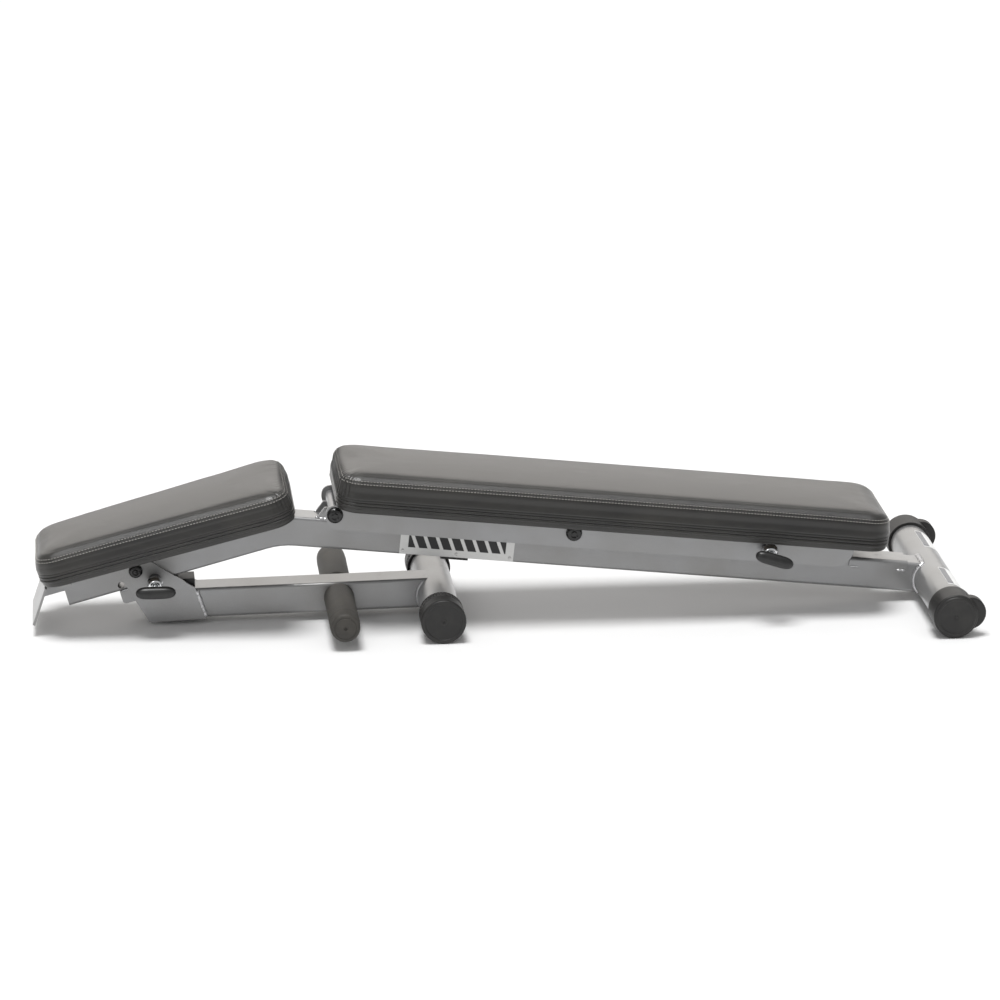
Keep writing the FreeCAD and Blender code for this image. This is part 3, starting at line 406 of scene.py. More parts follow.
class Shader:
    """Builds one material out of named nodes."""

    def __init__(self, name: str) -> None:
        """Start an empty material with its output node."""
        self.material = bpy.data.materials.new(name)
        self.material.use_nodes = True
        self.tree = self.material.node_tree
        self.tree.nodes.clear()
        self.output = self.tree.nodes.new("ShaderNodeOutputMaterial")
        place = self.tree.nodes.new("ShaderNodeTexCoord")
        self.place = Signal(self, place.outputs["Object"])

    def node(self, kind: str, settings: dict, inputs: dict, output: object = 0) -> Signal:
        """Add a node, set it up and link its sockets.

        Args:
            kind: type of the node.
            settings: its own settings, such as a Math node's operation or a ramp's stops.
            inputs: socket name or number to a value or a Signal.
            output: the socket to hand back.
        Returns:
            The chosen output.
        """
        made = self.tree.nodes.new(kind)
        for key, value in settings.items():
            if key == "stops":
                for index, (position, colour) in enumerate(value):
                    stop = made.color_ramp.elements[index] if index < 2 \
                        else made.color_ramp.elements.new(position)
                    stop.position, stop.color = position, (*colour, 1.0)
            else:
                setattr(made, key, value)
        for key, value in inputs.items():
            if isinstance(value, Signal):
                self.tree.links.new(value.socket, made.inputs[key])
            else:
                made.inputs[key].default_value = value
        return Signal(self, made.outputs[output])

    def noise(self, scale: float, detail: float = 3.0, where: Signal | None = None) -> Signal:
        """Smooth noise from 0 to 1, with scale in repeats a metre."""
        return self.node("ShaderNodeTexNoise", {}, {"Vector": where or self.place, "Scale": scale,
                                                    "Detail": detail, "Roughness": 0.55})

    def cells(self, scale: float, feature: str = "F1") -> Signal:
        """Distance to the nearest cell point or edge."""
        return self.node("ShaderNodeTexVoronoi", {"feature": feature},
                         {"Vector": self.place, "Scale": scale}, "Distance")

    def turned(self, slope: float, location: tuple = (0.0, 0.0, 0.0),
               scale: tuple = (1.0, 1.0, 1.0)) -> Signal:
        """Object coordinates turned back by a slope about Y, moved and scaled."""
        return self.node("ShaderNodeMapping", {},
                         {"Vector": self.place, "Location": location,
                          "Rotation": (0.0, -math.radians(slope), 0.0), "Scale": scale})

    def parts(self, where: Signal) -> tuple[Signal, Signal, Signal]:
        """The X, Y and Z of a vector."""
        first = self.node("ShaderNodeSeparateXYZ", {}, {"Vector": where})
        outputs = first.socket.node.outputs
        return first, Signal(self, outputs[1]), Signal(self, outputs[2])

    def blend(self, share: Signal, low: object, high: object) -> Signal:
        """Mix two colours by a share."""
        made = self.tree.nodes.new("ShaderNodeMix")
        made.data_type = "RGBA"
        self.tree.links.new(share.socket, made.inputs["Factor"])
        for socket, value in ((made.inputs[6], low), (made.inputs[7], high)):
            if isinstance(value, Signal):
                self.tree.links.new(value.socket, socket)
            else:
                socket.default_value = (*value, 1.0)
        return Signal(self, made.outputs[2])

    def finish(self, fixed: dict, varied: dict, height: Signal | None = None,
               bump: float = 0.1, depth: float = 0.001) -> bpy.types.Material:
        """Add the surface shader.

        Args:
            fixed: constants for the shader's own sockets.
            varied: patterns for its colour, roughness, metallic or coat.
            height: relief pattern, or none.
            bump: strength of the relief.
            depth: its depth in metres.
        Returns:
            The finished material.
        """
        inputs = dict(fixed)
        inputs.update(varied)
        if height is not None:
            inputs["Normal"] = self.node("ShaderNodeBump", {}, {
                "Strength": bump, "Distance": depth, "Height": height})
        surface = self.node("ShaderNodeBsdfPrincipled", {}, inputs)
        self.tree.links.new(surface.socket, self.output.inputs["Surface"])
        return self.material


# ------------------------------------------------------------------ finishes
@dataclass(frozen=True)
class SilverPaint:
    """Light silver-grey baked paint with a faint orange peel, dust and small scuffs."""

    name: str = "silver_paint"
    colour: tuple = (0.300, 0.302, 0.308)
    dusty: tuple = (0.250, 0.246, 0.238)
    roughness: float = 0.32

    def build(self) -> bpy.types.Material:
        """Make the material."""
        shader = Shader(self.name)
        cloud, speck = shader.noise(9.0), shader.noise(1500.0, 2.0)
        scuff = shader.noise(60.0, 6.0).above(0.68, 0.08)
        colour = shader.blend(cloud.above(0.55, 0.5), self.colour, self.dusty)
        colour = shader.blend(scuff * 0.35, colour, (0.30, 0.30, 0.30))
        colour = shader.blend(speck.above(0.62, 0.1) * 0.12, colour, (0.75, 0.75, 0.76))
        rough = cloud * 0.10 + scuff * 0.15 + (self.roughness - 0.05)
        return shader.finish({"Metallic": 0.5, "Coat Roughness": 0.2, "Coat Weight": 0.3},
                             {"Base Color": colour, "Roughness": rough},
                             shader.noise(260.0, 2.0), 0.18, 0.0006)


@dataclass(frozen=True)
class Vinyl:
    """Charcoal upholstery vinyl: pebbled grain, soft creases, and paler worn patches."""

    name: str = "charcoal_vinyl"
    colour: tuple = (0.0105, 0.0100, 0.0095)
    worn: tuple = (0.030, 0.028, 0.024)
    roughness: float = 0.30
    grain: float = 950.0

    def build(self) -> bpy.types.Material:
        """Make the material."""
        shader = Shader(self.name)
        pebble = shader.cells(self.grain, "DISTANCE_TO_EDGE")
        streak = shader.noise(1.0, 4.0, shader.turned(0.0, scale=(14.0, 60.0, 60.0)))
        cloud = shader.noise(7.0, 4.0)
        colour = shader.blend((cloud * 0.6 + streak * 0.4).above(0.52, 0.35), self.colour, self.worn)
        rough = streak * 0.12 + cloud * 0.08 + (self.roughness - 0.08)
        height = pebble.above(0.12, 0.2) * 0.55 + shader.noise(420.0, 3.0) * 0.5 + streak * 0.8
        return shader.finish({"Coat Weight": 0.2, "Coat Roughness": 0.16, "Sheen Weight": 0.03,
                              "Sheen Roughness": 0.5},
                             {"Base Color": colour, "Roughness": rough}, height, 0.28, 0.0005)


@dataclass(frozen=True)
class Moulded:
    """Moulded rubber or plastic with a matt spark texture and faint rubbed patches."""

    name: str
    colour: tuple
    rubbed: tuple
    roughness: float
    texture: float = 900.0
    bump: float = 0.25

    def build(self) -> bpy.types.Material:
        """Make the material."""
        shader = Shader(self.name)
        cloud, fine = shader.noise(38.0, 5.0), shader.noise(self.texture, 3.0)
        colour = shader.blend(cloud.above(0.58, 0.22) * 0.7, self.colour, self.rubbed)
        rough = cloud * 0.16 + (self.roughness - 0.08)
        return shader.finish({}, {"Base Color": colour, "Roughness": rough},
                             fine + cloud * 0.5, self.bump, 0.0004)


@dataclass(frozen=True)
class BareMetal:
    """Plated or polished metal with fine scratches."""

    name: str
    colour: tuple
    roughness: float
    scratch: float = 0.05

    def build(self) -> bpy.types.Material:
        """Make the material."""
        shader = Shader(self.name)
        fine = shader.noise(1.0, 5.0, shader.turned(0.0, scale=(90.0, 1400.0, 1400.0)))
        cloud = shader.noise(45.0, 3.0)
        dull = tuple(0.8 * value for value in self.colour)
        colour = shader.blend(cloud.above(0.6, 0.3) * 0.5, self.colour, dull)
        rough = fine * self.scratch + cloud * self.scratch + self.roughness
        return shader.finish({"Metallic": 1.0}, {"Base Color": colour, "Roughness": rough},
                             fine, 0.05, 0.0003)


@dataclass(frozen=True)
class Grained:
    """Dry stock such as foam, plywood, thread or paper: two colours in stretched noise."""

    name: str
    dark: tuple
    light: tuple
    scale: tuple
    roughness: float
    bump: float = 0.3

    def build(self) -> bpy.types.Material:
        """Make the material."""
        shader = Shader(self.name)
        grain = shader.noise(1.0, 5.0, shader.turned(0.0, scale=self.scale))
        colour = shader.blend(grain.above(0.5, 0.4), self.dark, self.light)
        return shader.finish({"Roughness": self.roughness}, {"Base Color": colour}, grain,
                             self.bump, 0.0005)


@dataclass(frozen=True)
class PrintedPlate:
    """Brushed plate with a plain row of slanted bars, ruled in its own sloped frame."""

    frame: SlopedFrame
    name: str = "printed_plate"
    first: float = -0.178
    last: float = -0.014
    low: float = 0.012
    pitch: float = 0.0205
    slant: float = 0.45

    def build(self) -> bpy.types.Material:
        """Make the material: a bar shows where the slanted distance is inside its share."""
        shader = Shader(self.name)
        corner = SlopedFrame(0.0, 0.0, -self.frame.slope).place(
            np.array([self.frame.x, 0.0, self.frame.z]))
        spot = shader.turned(self.frame.slope, (-float(corner[0]), 0.0, -float(corner[2])))
        along, _, up = shader.parts(spot)
        slanted = along + up * self.slant
        bars = (slanted + 10.0).wrapped(self.pitch)
        ink = bars.above(0.30, 0.04) * along.above(self.first, 0.0004) \
            * (1 - along.above(self.last, 0.0004)) * up.above(self.low, 0.0004)
        brush = shader.noise(1.0, 4.0, shader.turned(self.frame.slope, scale=(60.0, 900.0, 2600.0)))
        metal = shader.blend(brush, (0.46, 0.46, 0.455), (0.64, 0.64, 0.63))
        colour = shader.blend(ink, metal, (0.012, 0.012, 0.013))
        return shader.finish({}, {"Base Color": colour, "Metallic": 0.75 - ink * 0.75,
                                  "Roughness": brush * 0.15 + 0.28 + ink * 0.1}, brush, 0.1, 0.0002)


PAINT = SilverPaint()
VINYL = Vinyl()
CAP_RUBBER = Moulded("cap_rubber", (0.011, 0.0105, 0.010), (0.024, 0.023, 0.021), 0.46, 700.0)
GRIP_FOAM = Moulded("grip_foam", (0.040, 0.037, 0.032), (0.066, 0.060, 0.051), 0.62, 1300.0, 0.4)
BLACK_PLASTIC = Moulded("black_plastic", (0.011, 0.011, 0.011), (0.022, 0.022, 0.021), 0.34)
CHROME = BareMetal("polished_chrome", (0.78, 0.79, 0.80), 0.06, 0.03)
ZINC = BareMetal("zinc_plate", (0.56, 0.56, 0.55), 0.30, 0.12)
BRONZE = BareMetal("bush_bronze", (0.52, 0.38, 0.20), 0.34, 0.12)
WELD = BareMetal("painted_weld", (0.62, 0.62, 0.63), 0.26, 0.10)
FOAM = Grained("open_foam", (0.42, 0.38, 0.25), (0.58, 0.53, 0.37), (900.0, 900.0, 900.0), 0.95)
GLOSS_PLASTIC = Moulded("gloss_plastic", (0.008, 0.008, 0.008), (0.016, 0.016, 0.015), 0.20, 500.0,
                        0.08)
PLYWOOD = Grained("stained_board", (0.050, 0.042, 0.034), (0.085, 0.070, 0.054),
                  (16.0, 240.0, 240.0), 0.62)
THREAD = Grained("pale_thread", (0.30, 0.29, 0.27), (0.48, 0.46, 0.43), (2400.0, 2400.0, 2400.0), 0.7)
LABEL = Grained("plain_label", (0.80, 0.80, 0.79), (0.86, 0.86, 0.85), (300.0, 300.0, 300.0), 0.4, 0.05)
LABEL_BAND = Grained("label_band", (0.22, 0.22, 0.23), (0.27, 0.27, 0.28), (300.0, 300.0, 300.0), 0.45,
                     0.05)
FLOOR = Grained("pale_floor", (0.86, 0.86, 0.86), (0.88, 0.88, 0.88), (3.0, 3.0, 3.0), 0.9, 0.0)


class Finishes:
    """Builds each finish once and puts it on pieces."""

    def __init__(self) -> None:
        """Start with nothing built."""
        self.built: dict[str, bpy.types.Material] = {}

    def dress(self, piece: bpy.types.Object, finish: object) -> None:
        """Put a finish on every material slot of a piece."""
        if finish.name not in self.built:
            self.built[finish.name] = finish.build()
        material = self.built[finish.name]
        if not piece.data.materials:
            piece.data.materials.append(material)
        for index in range(len(piece.data.materials)):
            piece.data.materials[index] = material

    def add(self, piece: bpy.types.Object, finish: object, body: str, slot: str,
            *replaced: str) -> bpy.types.Object:
        """Dress a new piece, ride it on a body and hide the CAD nodes that it stands for.

        Args:
            piece: the new piece.
            finish: its finish.
            body: the body that carries it.
            slot: the record's material slot; not used.
            *replaced: CAD nodes that it stands for.
        Returns:
            The piece.
        """
        self.dress(piece, finish)
        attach(piece, body)
        if replaced:
            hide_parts(*replaced)
        LOG.info("%s on %s: %d faces", piece.name, body, len(piece.data.polygons))
        return piece


# ------------------------------------------------------------------ cushions
@dataclass
class Cushion:
    """A boxed pad: crowned top, stitched shoulder, drawn-in sides, piped band and turned-in hem.

    The cover is a grid. Its columns follow the plan outline and its rows run from the centre
    line over the top, down the side and under the hem. Lengths are in metres. The cloth's moves
    are averaged over calm columns each way, and crease is the share of the raw moves kept.
    """

    name: str
    node: str
    body: str
    frame: SlopedFrame
    length: float
    half_rear: float
    half_front: float
    corner: float
    thickness: float
    gathered: GatheredEnd
    crown: float = 0.0035
    shoulder: float = 0.0175
    side_pull: float = 0.0022
    ridge_low: float = 0.0070
    ridge_high: float = 0.0235
    ridge_depth: float = 0.0026
    ridges: int = 3
    hem: float = 0.0155
    seam_angle: float = 56.0
    stitch_pitch: float = 0.0052
    cloth_cap: float = 0.0030
    calm: int = 7
    crease: float = 0.18
    cloth_frames: int = 18
    cloth_share: int = 3
    cloth_pin_rise: float = 0.002
    column_pitch: float = 0.0042
    core_gap: float = 0.0065
    board_top: float = 0.0122
    core_drop: float = 0.0045
    stitch_half: float = 0.0018
    thread: float = 0.00052
    staple_pitch: float = 0.032

    def outline(self, count: int) -> np.ndarray:
        """Plan outline from the middle of the rear end, with closer points where the cover gathers."""
        front, reach, extra = -self.length, 0.03, 2.6
        corners = [(0.0, 0.0, 0.0), (0.0, self.half_rear, self.corner),
                   (front, self.half_front, self.corner), (front, -self.half_front, self.corner),
                   (0.0, -self.half_rear, self.corner)]
        line = spaced(rounded_path(corners, True, 17), 4000, True)
        nearness = np.exp(-((line[:, 0] - front * self.gathered.value) / reach) ** 2)
        share = np.concatenate([[0.0], np.cumsum(1 + extra * nearness)])
        wanted = np.linspace(0, share[-1], count, endpoint=False)
        loop = np.concatenate([line, line[:1]])
        return np.stack([np.interp(wanted, share, loop[:, axis]) for axis in (0, 1)], axis=-1)

    def plan(self, count: int) -> tuple[np.ndarray, np.ndarray]:
        """Outline points and the inward direction at each."""
        outline = self.outline(count)
        tangent = np.roll(outline, -1, 0) - np.roll(outline, 1, 0)
        tangent = tangent / np.linalg.norm(tangent, axis=1, keepdims=True)
        return outline, np.stack([-tangent[:, 1], tangent[:, 0]], -1)

    def sections(self, fine: bool) -> tuple[np.ndarray, np.ndarray, np.ndarray]:
        """Rows of the cover as (share of the way out, inset, height); piping ridges are round arcs.

        Args:
            fine: whether the shoulder and the piped band get their full detail.
        Returns:
            The three columns, from the top's centre line to the bottom's.
        """
        top = self.thickness - 0.0005
        out = np.linspace(0, 1, 22 if fine else 12)[:-1]
        flat = np.stack([out, np.full_like(out, self.shoulder), np.full_like(out, top)], -1)
        turn = np.radians(np.linspace(0, 90, 22 if fine else 5))
        bend = np.stack([np.ones_like(turn), self.shoulder * (1 - np.sin(turn)),
                         top - self.shoulder * (1 - np.cos(turn))], -1)
        height = np.linspace(top - self.shoulder, self.ridge_high, 10 if fine else 5)[1:]
        wall = np.stack([np.ones_like(height), np.zeros_like(height), height], -1)
        share = np.linspace(0, 1, 31 if fine else 4)[1:]
        across = 2 * ((share * self.ridges) % 1.0) - 1
        ridge = self.ridge_depth * (1 - np.sqrt(1 - across ** 2))
        band = np.stack([np.ones_like(share), ridge,
                         self.ridge_high + (self.ridge_low - self.ridge_high) * share], -1)
        low = self.ridge_low
        edge = np.array([[1, 0.0026, low - 0.0012], [1, 0.0030, 0.003], [1, 0.0034, 0.0008],
                         [1, 0.0048, -0.0006], [1, 0.0075, -0.0010],
                         [1, self.hem - 0.002, -0.0010], [1, self.hem, -0.0006],
                         [1, self.hem + 0.0008, 0.0008]])
        under = np.linspace(1, 0, 10 if fine else 6)
        base = np.stack([under, np.full_like(under, self.hem + 0.0012),
                         np.full_like(under, 0.0014)], -1)
        rows = np.concatenate([flat, bend, wall, band, edge, base])
        return rows[:, 0], rows[:, 1], rows[:, 2]

    def gathers(self, plan: np.ndarray, height: np.ndarray) -> np.ndarray:
        """Depth of the folds: waves along the outline, strong at the drawn end and the corners.

        Args:
            plan: outline points of the columns.
            height: height of the rows.
        Returns:
            Depth for each row and column.
        """
        line = np.concatenate([[0], np.cumsum(np.linalg.norm(np.diff(plan, axis=0), axis=1))])
        end = -self.length * self.gathered.value
        near_end = np.exp(-((plan[:, 0] - end) / 0.016) ** 2)
        corner_x = np.minimum(np.abs(plan[:, 0]), np.abs(plan[:, 0] + self.length))
        near_corner = np.exp(-((corner_x - 0.02) / 0.022) ** 2)
        wave = (0.5 + 0.5 * np.sin(line * 2 * math.pi / 0.0095 + 1.7 * np.sin(line * 61.0))) ** 2
        slow = 0.5 + 0.5 * np.sin(line * 31.0 + 2.0)
        amount = 0.0052 * near_end * wave * (0.6 + 0.4 * slow) + 0.0006 * near_corner * wave
        middle = 0.5 * (self.thickness + self.ridge_high)
        share = np.exp(-((height - middle) / (0.42 * (self.thickness - self.ridge_high))) ** 4)
        return share[:, None] * amount[None, :]

    def surface(self, count: int, fine: bool) -> np.ndarray:
        """Grid of the cover: outline points moved in along their normal, then drawn to the middle.

        Args:
            count: number of columns.
            fine: whether to use the detailed rows.
        Returns:
            Points of shape rows, columns, 3 in the cushion's own frame.
        """
        plan, inward = self.plan(count)
        out, inset, height = self.sections(fine)
        along = np.clip(-plan[:, 0] / self.length, 0, 1)
        bow = self.side_pull * np.sin(math.pi * along) ** 0.5 * (np.abs(inward[:, 1]) > 0.7)
        wall = np.clip((height - 0.003) / 0.02, 0, 1) * np.clip((out - 0.9) * 10, 0, 1)
        depth = inset[:, None] + wall[:, None] * bow[None, :]
        if fine:
            depth = depth + self.gathers(plan, height) * (out > 0.99)[:, None]
            turn = np.degrees(np.arccos(np.clip(1 - (self.thickness - height) / self.shoulder, -1, 1)))
            depth = depth + (0.0005 * np.exp(-((turn - self.seam_angle) / 4.0) ** 2)
                             * (out > 0.99))[:, None]
        ring = plan[None] + inward[None] * depth[..., None]
        centre_x = np.clip(plan[:, 0], -self.length + self.half_front, -self.half_rear)
        centre = np.stack([centre_x, 0 * centre_x], -1)[None]
        level = centre + (ring - centre) * out[:, None, None]
        rise = self.crown * (1 - out ** 2) * (height > self.thickness / 2)
        high = height[:, None] + rise[:, None] + 0 * along[None]
        return np.concatenate([level, high[..., None]], -1)

    def settle(self, piece: bpy.types.Object, held: np.ndarray) -> np.ndarray:
        """Run cloth under pressure on a trial piece, then remove the piece.

        Args:
            piece: the trial piece.
            held: numbers of the corners that stay put.
        Returns:
            Corner positions after the run.
        """
        pins = piece.vertex_groups.new(name="held")
        pins.add([int(number) for number in held], 1.0, "REPLACE")
        cloth = piece.modifiers.new("stuffing", "CLOTH")
        cloth.settings.quality = 6
        cloth.settings.mass = 0.4
        cloth.settings.tension_stiffness = cloth.settings.compression_stiffness = 25
        cloth.settings.bending_stiffness = 2.0
        cloth.settings.use_pressure = True
        cloth.settings.uniform_pressure_force = 4.0
        cloth.settings.vertex_group_mass = pins.name
        cloth.settings.effector_weights.gravity = 0.0
        for frame in range(1, self.cloth_frames + 1):
            bpy.context.scene.frame_set(frame)
        shown = piece.evaluated_get(bpy.context.evaluated_depsgraph_get())
        after = corner_places(shown.data)
        bpy.data.objects.remove(piece)
        bpy.context.scene.frame_set(1)
        return after

    def stuffed(self, count: int) -> np.ndarray:
        """Let cloth under pressure settle over the pad and return how far each point moved.

        Args:
            count: number of columns of the coarse grid.
        Returns:
            Capped moves on the coarse grid, in the row frame.
        """
        grid = self.frame.place(self.surface(count, False))
        rows = grid.shape[0]
        points = grid.reshape(-1, 3)
        piece = mesh_piece(f"{self.name}_trial", points, grid_quads(rows, count, True))
        rest = corner_places(piece.data)
        match = matched_corners(points, rest)
        height = np.tile(self.sections(False)[2][:, None], (1, count)).reshape(-1)
        low = np.zeros(len(rest))
        np.maximum.at(low, match, (height < self.ridge_high + self.cloth_pin_rise).astype(float))
        after = self.settle(piece, np.nonzero(low > 0.5)[0])
        moved = (after - rest)[match].reshape(rows, count, 3)
        moved[~np.isfinite(moved)] = 0.0
        reach = np.arange(-self.calm, self.calm + 1)
        smooth = sum(np.roll(moved, int(step), 1) for step in reach) / len(reach)
        moved = (1 - self.crease) * smooth + self.crease * moved
        size = np.linalg.norm(moved, axis=-1, keepdims=True)
        LOG.info("%s: cloth moved %.1f mm at most", self.name, 1000 * float(size.max()))
        return moved * (self.cloth_cap * np.tanh(size / self.cloth_cap) / np.maximum(size, 1e-9))

    def way(self, fine: bool) -> np.ndarray:
        """How far round the section each row lies, from 0 at the top's middle to 1 underneath."""
        out, inset, height = self.sections(fine)
        steps = np.hypot(np.hypot(np.diff(out) * self.half_rear, np.diff(inset)), np.diff(height))
        walked = np.concatenate([[0], np.cumsum(steps)])
        return walked / walked[-1]

    def cover_grid(self, count: int) -> np.ndarray:
        """The detailed grid with the cloth's moves spread over it row by row and column by column."""
        fine = self.frame.place(self.surface(count, True))
        coarse_count = count // self.cloth_share
        moved = self.stuffed(coarse_count)
        fine_way, way = self.way(True), self.way(False)
        slot = np.clip(np.searchsorted(way, fine_way) - 1, 0, len(way) - 2)
        share = np.clip((fine_way - way[slot]) / (way[slot + 1] - way[slot]), 0, 1)[:, None, None]
        rows = moved[slot] * (1 - share) + moved[slot + 1] * share
        step = np.arange(count) * coarse_count / count
        first = step.astype(int)
        share = (step - first)[None, :, None]
        spread = rows[:, first] * (1 - share) + rows[:, (first + 1) % coarse_count] * share
        hold = np.clip((self.sections(True)[2] - self.ridge_high) / 0.012, 0, 1)[:, None, None]
        return fine + spread * hold

    def stitches(self, finishes: Finishes, grid: np.ndarray) -> None:
        """Two rows of short thread capsules, one each side of the shoulder seam."""
        _, _, height = self.sections(True)
        normals = np.cross(np.roll(grid, -1, 1) - np.roll(grid, 1, 1), np.gradient(grid, axis=0))
        normals = -normals / np.maximum(np.linalg.norm(normals, axis=-1, keepdims=True), 1e-12)
        turn = 1 - (self.thickness - 0.0005 - height) / self.shoulder
        half = self.stitch_half
        stations = np.array([[-half, 0.0], [-0.7 * half, 1.0], [0.0, 1.15], [0.7 * half, 1.0],
                             [half, 0.0]])
        template, quads = rod_template(stations, self.thread, self.thread)
        spots, along, outward = [], [], []
        for degrees in (self.seam_angle - 9.0, self.seam_angle + 9.0):
            row = int(np.argmin(np.abs(turn - math.cos(math.radians(degrees)))
                                + (height < self.ridge_high) * 9))
            line, facing = grid[row], normals[row]
            count = int(line_length(line) / self.stitch_pitch)
            both = spaced(np.concatenate([line, facing], 1), count, True)
            spots.append(both[:, :3] + 0.00030 * both[:, 3:])
            along.append(np.roll(both[:, :3], -1, 0) - np.roll(both[:, :3], 1, 0))
            outward.append(both[:, 3:])
        thread_piece = repeated(f"{self.name}_stitching", template, quads,
                                np.concatenate(spots), np.concatenate(along),
                                np.concatenate(outward))
        finishes.add(thread_piece, THREAD, self.body, "cushion_vinyl")

    def staples(self, finishes: Finishes) -> None:
        """Wire staples that hold the hem to the board: flat bars with rounded ends."""
        plan, inward = self.plan(400)
        line = plan + inward * (self.hem - 0.004)
        flat = np.concatenate([line, np.full((len(line), 1), -0.0011)], 1)
        spots = spaced(flat, int(line_length(flat) / self.staple_pitch), True)
        along = np.roll(spots, -1, 0) - np.roll(spots, 1, 0)
        stations = np.array([[-0.0052, 0.0], [-0.005, 1.0], [0.005, 1.0], [0.0052, 0.0]])
        template, quads = rod_template(stations, 0.0006, 0.0005)
        origin = self.frame.place(np.zeros(3))
        below = self.frame.place(np.array([0.0, 0.0, -1.0])) - origin
        piece = repeated(f"{self.name}_staples", template, quads, self.frame.place(spots),
                         self.frame.place(along) - origin, np.tile(below, (len(spots), 1)))
        finishes.add(piece, ZINC, self.body, "zinc_steel")

    def core(self, finishes: Finishes) -> None:
        """The foam block inside the cover, standing on the board."""
        gap, board = self.core_gap, self.board_top
        block = replace(self, frame=self.frame.moved(-gap, board), length=self.length - 2 * gap,
                        half_rear=self.half_rear - gap, half_front=self.half_front - gap,
                        corner=self.corner - gap, thickness=self.thickness - board - self.core_drop,
                        ridge_high=0.012, ridge_low=0.006)
        count = int(2 * (self.length + 2 * self.half_rear) / 0.012)
        grid = block.frame.place(block.surface(count, False))
        piece = mesh_piece(f"{self.name}_core", grid.reshape(-1, 3),
                           grid_quads(grid.shape[0], count, True))
        finishes.add(piece, FOAM, self.body, "foam", self.node.replace("cover", "foam"))

    def build(self, finishes: Finishes) -> None:
        """Make the cover, its foam, its stitching and its staples."""
        around = 2 * (self.length + self.half_rear + self.half_front)
        count = self.cloth_share * (int(around / self.column_pitch) // self.cloth_share)
        grid = self.cover_grid(count)
        piece = mesh_piece(f"{self.name}_vinyl", grid.reshape(-1, 3),
                           grid_quads(grid.shape[0], count, True))
        finishes.add(piece, VINYL, self.body, "cushion_vinyl", self.node)
        self.core(finishes)
        self.stitches(finishes, grid)
        self.staples(finishes)


# ------------------------------------------------------------------ small moulded and metal parts
@dataclass
class FootCap:
    """Face of a rubber foot cap: a raised rim, a shallow dish and a moulded centre point."""

    node: str
    side: Side
    body: str
    radius: float = 0.03735

    def build(self, finishes: Finishes) -> None:
        """Lay the face on the cap's closed end; its round front side is one radius from the axis."""
        low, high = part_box(self.node)
        end = high[1] if self.side is Side.RIGHT else low[1]
        centre = (float(low[0]) + self.radius, end, self.radius)
        face = rounded_path([(0.0, 0.0018, 0), (0.0016, 0.0016, 0.0005), (0.0022, 0.0002, 0.0005),
                             (0.0042, 0.0003, 0.0005), (0.0060, 0.0007, 0.001),
                             (self.radius - 0.0095, 0.0009, 0.002),
                             (self.radius - 0.0080, 0.0018, 0.0008),
                             (self.radius - 0.0050, 0.0018, 0.0012),
                             (self.radius - 0.0034, 0.0001, 0.0008),
                             (self.radius - 0.0040, -0.0010, 0), (0.0, -0.0010, 0)], False, 5)
        piece = turned_piece(f"{self.node}_face", face, centre, self.side, 96)
        finishes.add(piece, CAP_RUBBER, self.body, "cap_rubber")

    def build_whole(self, finishes: Finishes) -> None:
        """Turn a whole cap: dished face, rim, barrel, ribbed collar and the bore for the tube."""
        low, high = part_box(self.node)
        start, end = (low[1], high[1]) if self.side is Side.RIGHT else (high[1], low[1])
        deep, wide, bore = abs(float(end) - float(start)), self.radius, 0.0327
        outside = rounded_path([(0.0, deep - 0.0016, 0), (0.0016, deep - 0.0015, 0.0004),
                                (0.0024, deep - 0.0002, 0.0005), (0.0046, deep - 0.0003, 0.0005),
                                (0.0062, deep - 0.0012, 0.001), (wide - 0.0075, deep - 0.0012, 0.002),
                                (wide - 0.0062, deep, 0.0008), (wide, deep, 0.0028),
                                (wide, deep - 0.010, 0)], False, 6)
        barrel = np.linspace(deep - 0.012, 0.0008, 60)
        band = (np.abs(barrel - 0.0185) < 0.0012) * 0.0007
        sleeve = np.stack([wide - 0.0004 - band, barrel], -1)
        inside = np.array([[wide - 0.0012, 0.0], [bore, 0.0], [bore, deep - 0.0042],
                           [0.0, deep - 0.0042]])
        piece = turned_piece(f"{self.node}_cap", np.concatenate([outside, sleeve, inside]),
                             (float(low[0] + high[0]) / 2, float(start), float(low[2] + high[2]) / 2),
                             self.side, 264, 44, 0.0016, (0.0018, 0.0165))
        finishes.add(piece, CAP_RUBBER, self.body, "cap_rubber", self.node)


@dataclass
class Grip:
    """Foot grip: a slightly waisted sleeve with a rounded end and a vent dimple."""

    node: str
    side: Side
    radius: float = 0.0255

    def build(self, finishes: Finishes) -> None:
        """Turn the grip's profile round the peg."""
        low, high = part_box(self.node)
        start, end = (low[1], high[1]) if self.side is Side.RIGHT else (high[1], low[1])
        length = abs(float(end) - float(start))
        centre = (float(low[0] + high[0]) / 2, float(start), float(low[2] + high[2]) / 2)
        waist = self.radius - 0.0006
        tip = rounded_path([(0.0, length - 0.0028, 0), (0.0022, length - 0.0026, 0.0008),
                            (0.0030, length - 0.0006, 0.0008), (0.0120, length - 0.0004, 0.003),
                            (0.0170, length - 0.0012, 0.001), (0.0176, length - 0.0024, 0.0005),
                            (0.0184, length - 0.0018, 0.0006), (waist - 0.0008, length - 0.0022, 0.0052),
                            (waist, length - 0.022, 0.01), (waist, length - 0.030, 0)], False, 12)
        along = np.linspace(length - 0.031, 0.004, 70)
        body = np.stack([waist + 0.0005 * ((along / length - 0.5) * 2) ** 2, along], -1)
        root = rounded_path([(waist + 0.0004, 0.004, 0), (self.radius - 0.0004, 0.0, 0.0026),
                             (0.0132, 0.0, 0)], False, 6)
        profile = np.concatenate([tip, body, root])
        piece = turned_piece(f"{self.node}_sleeve", profile, centre, self.side, 72)
        finishes.add(piece, GRIP_FOAM, "leg", "grip_rubber", self.node)


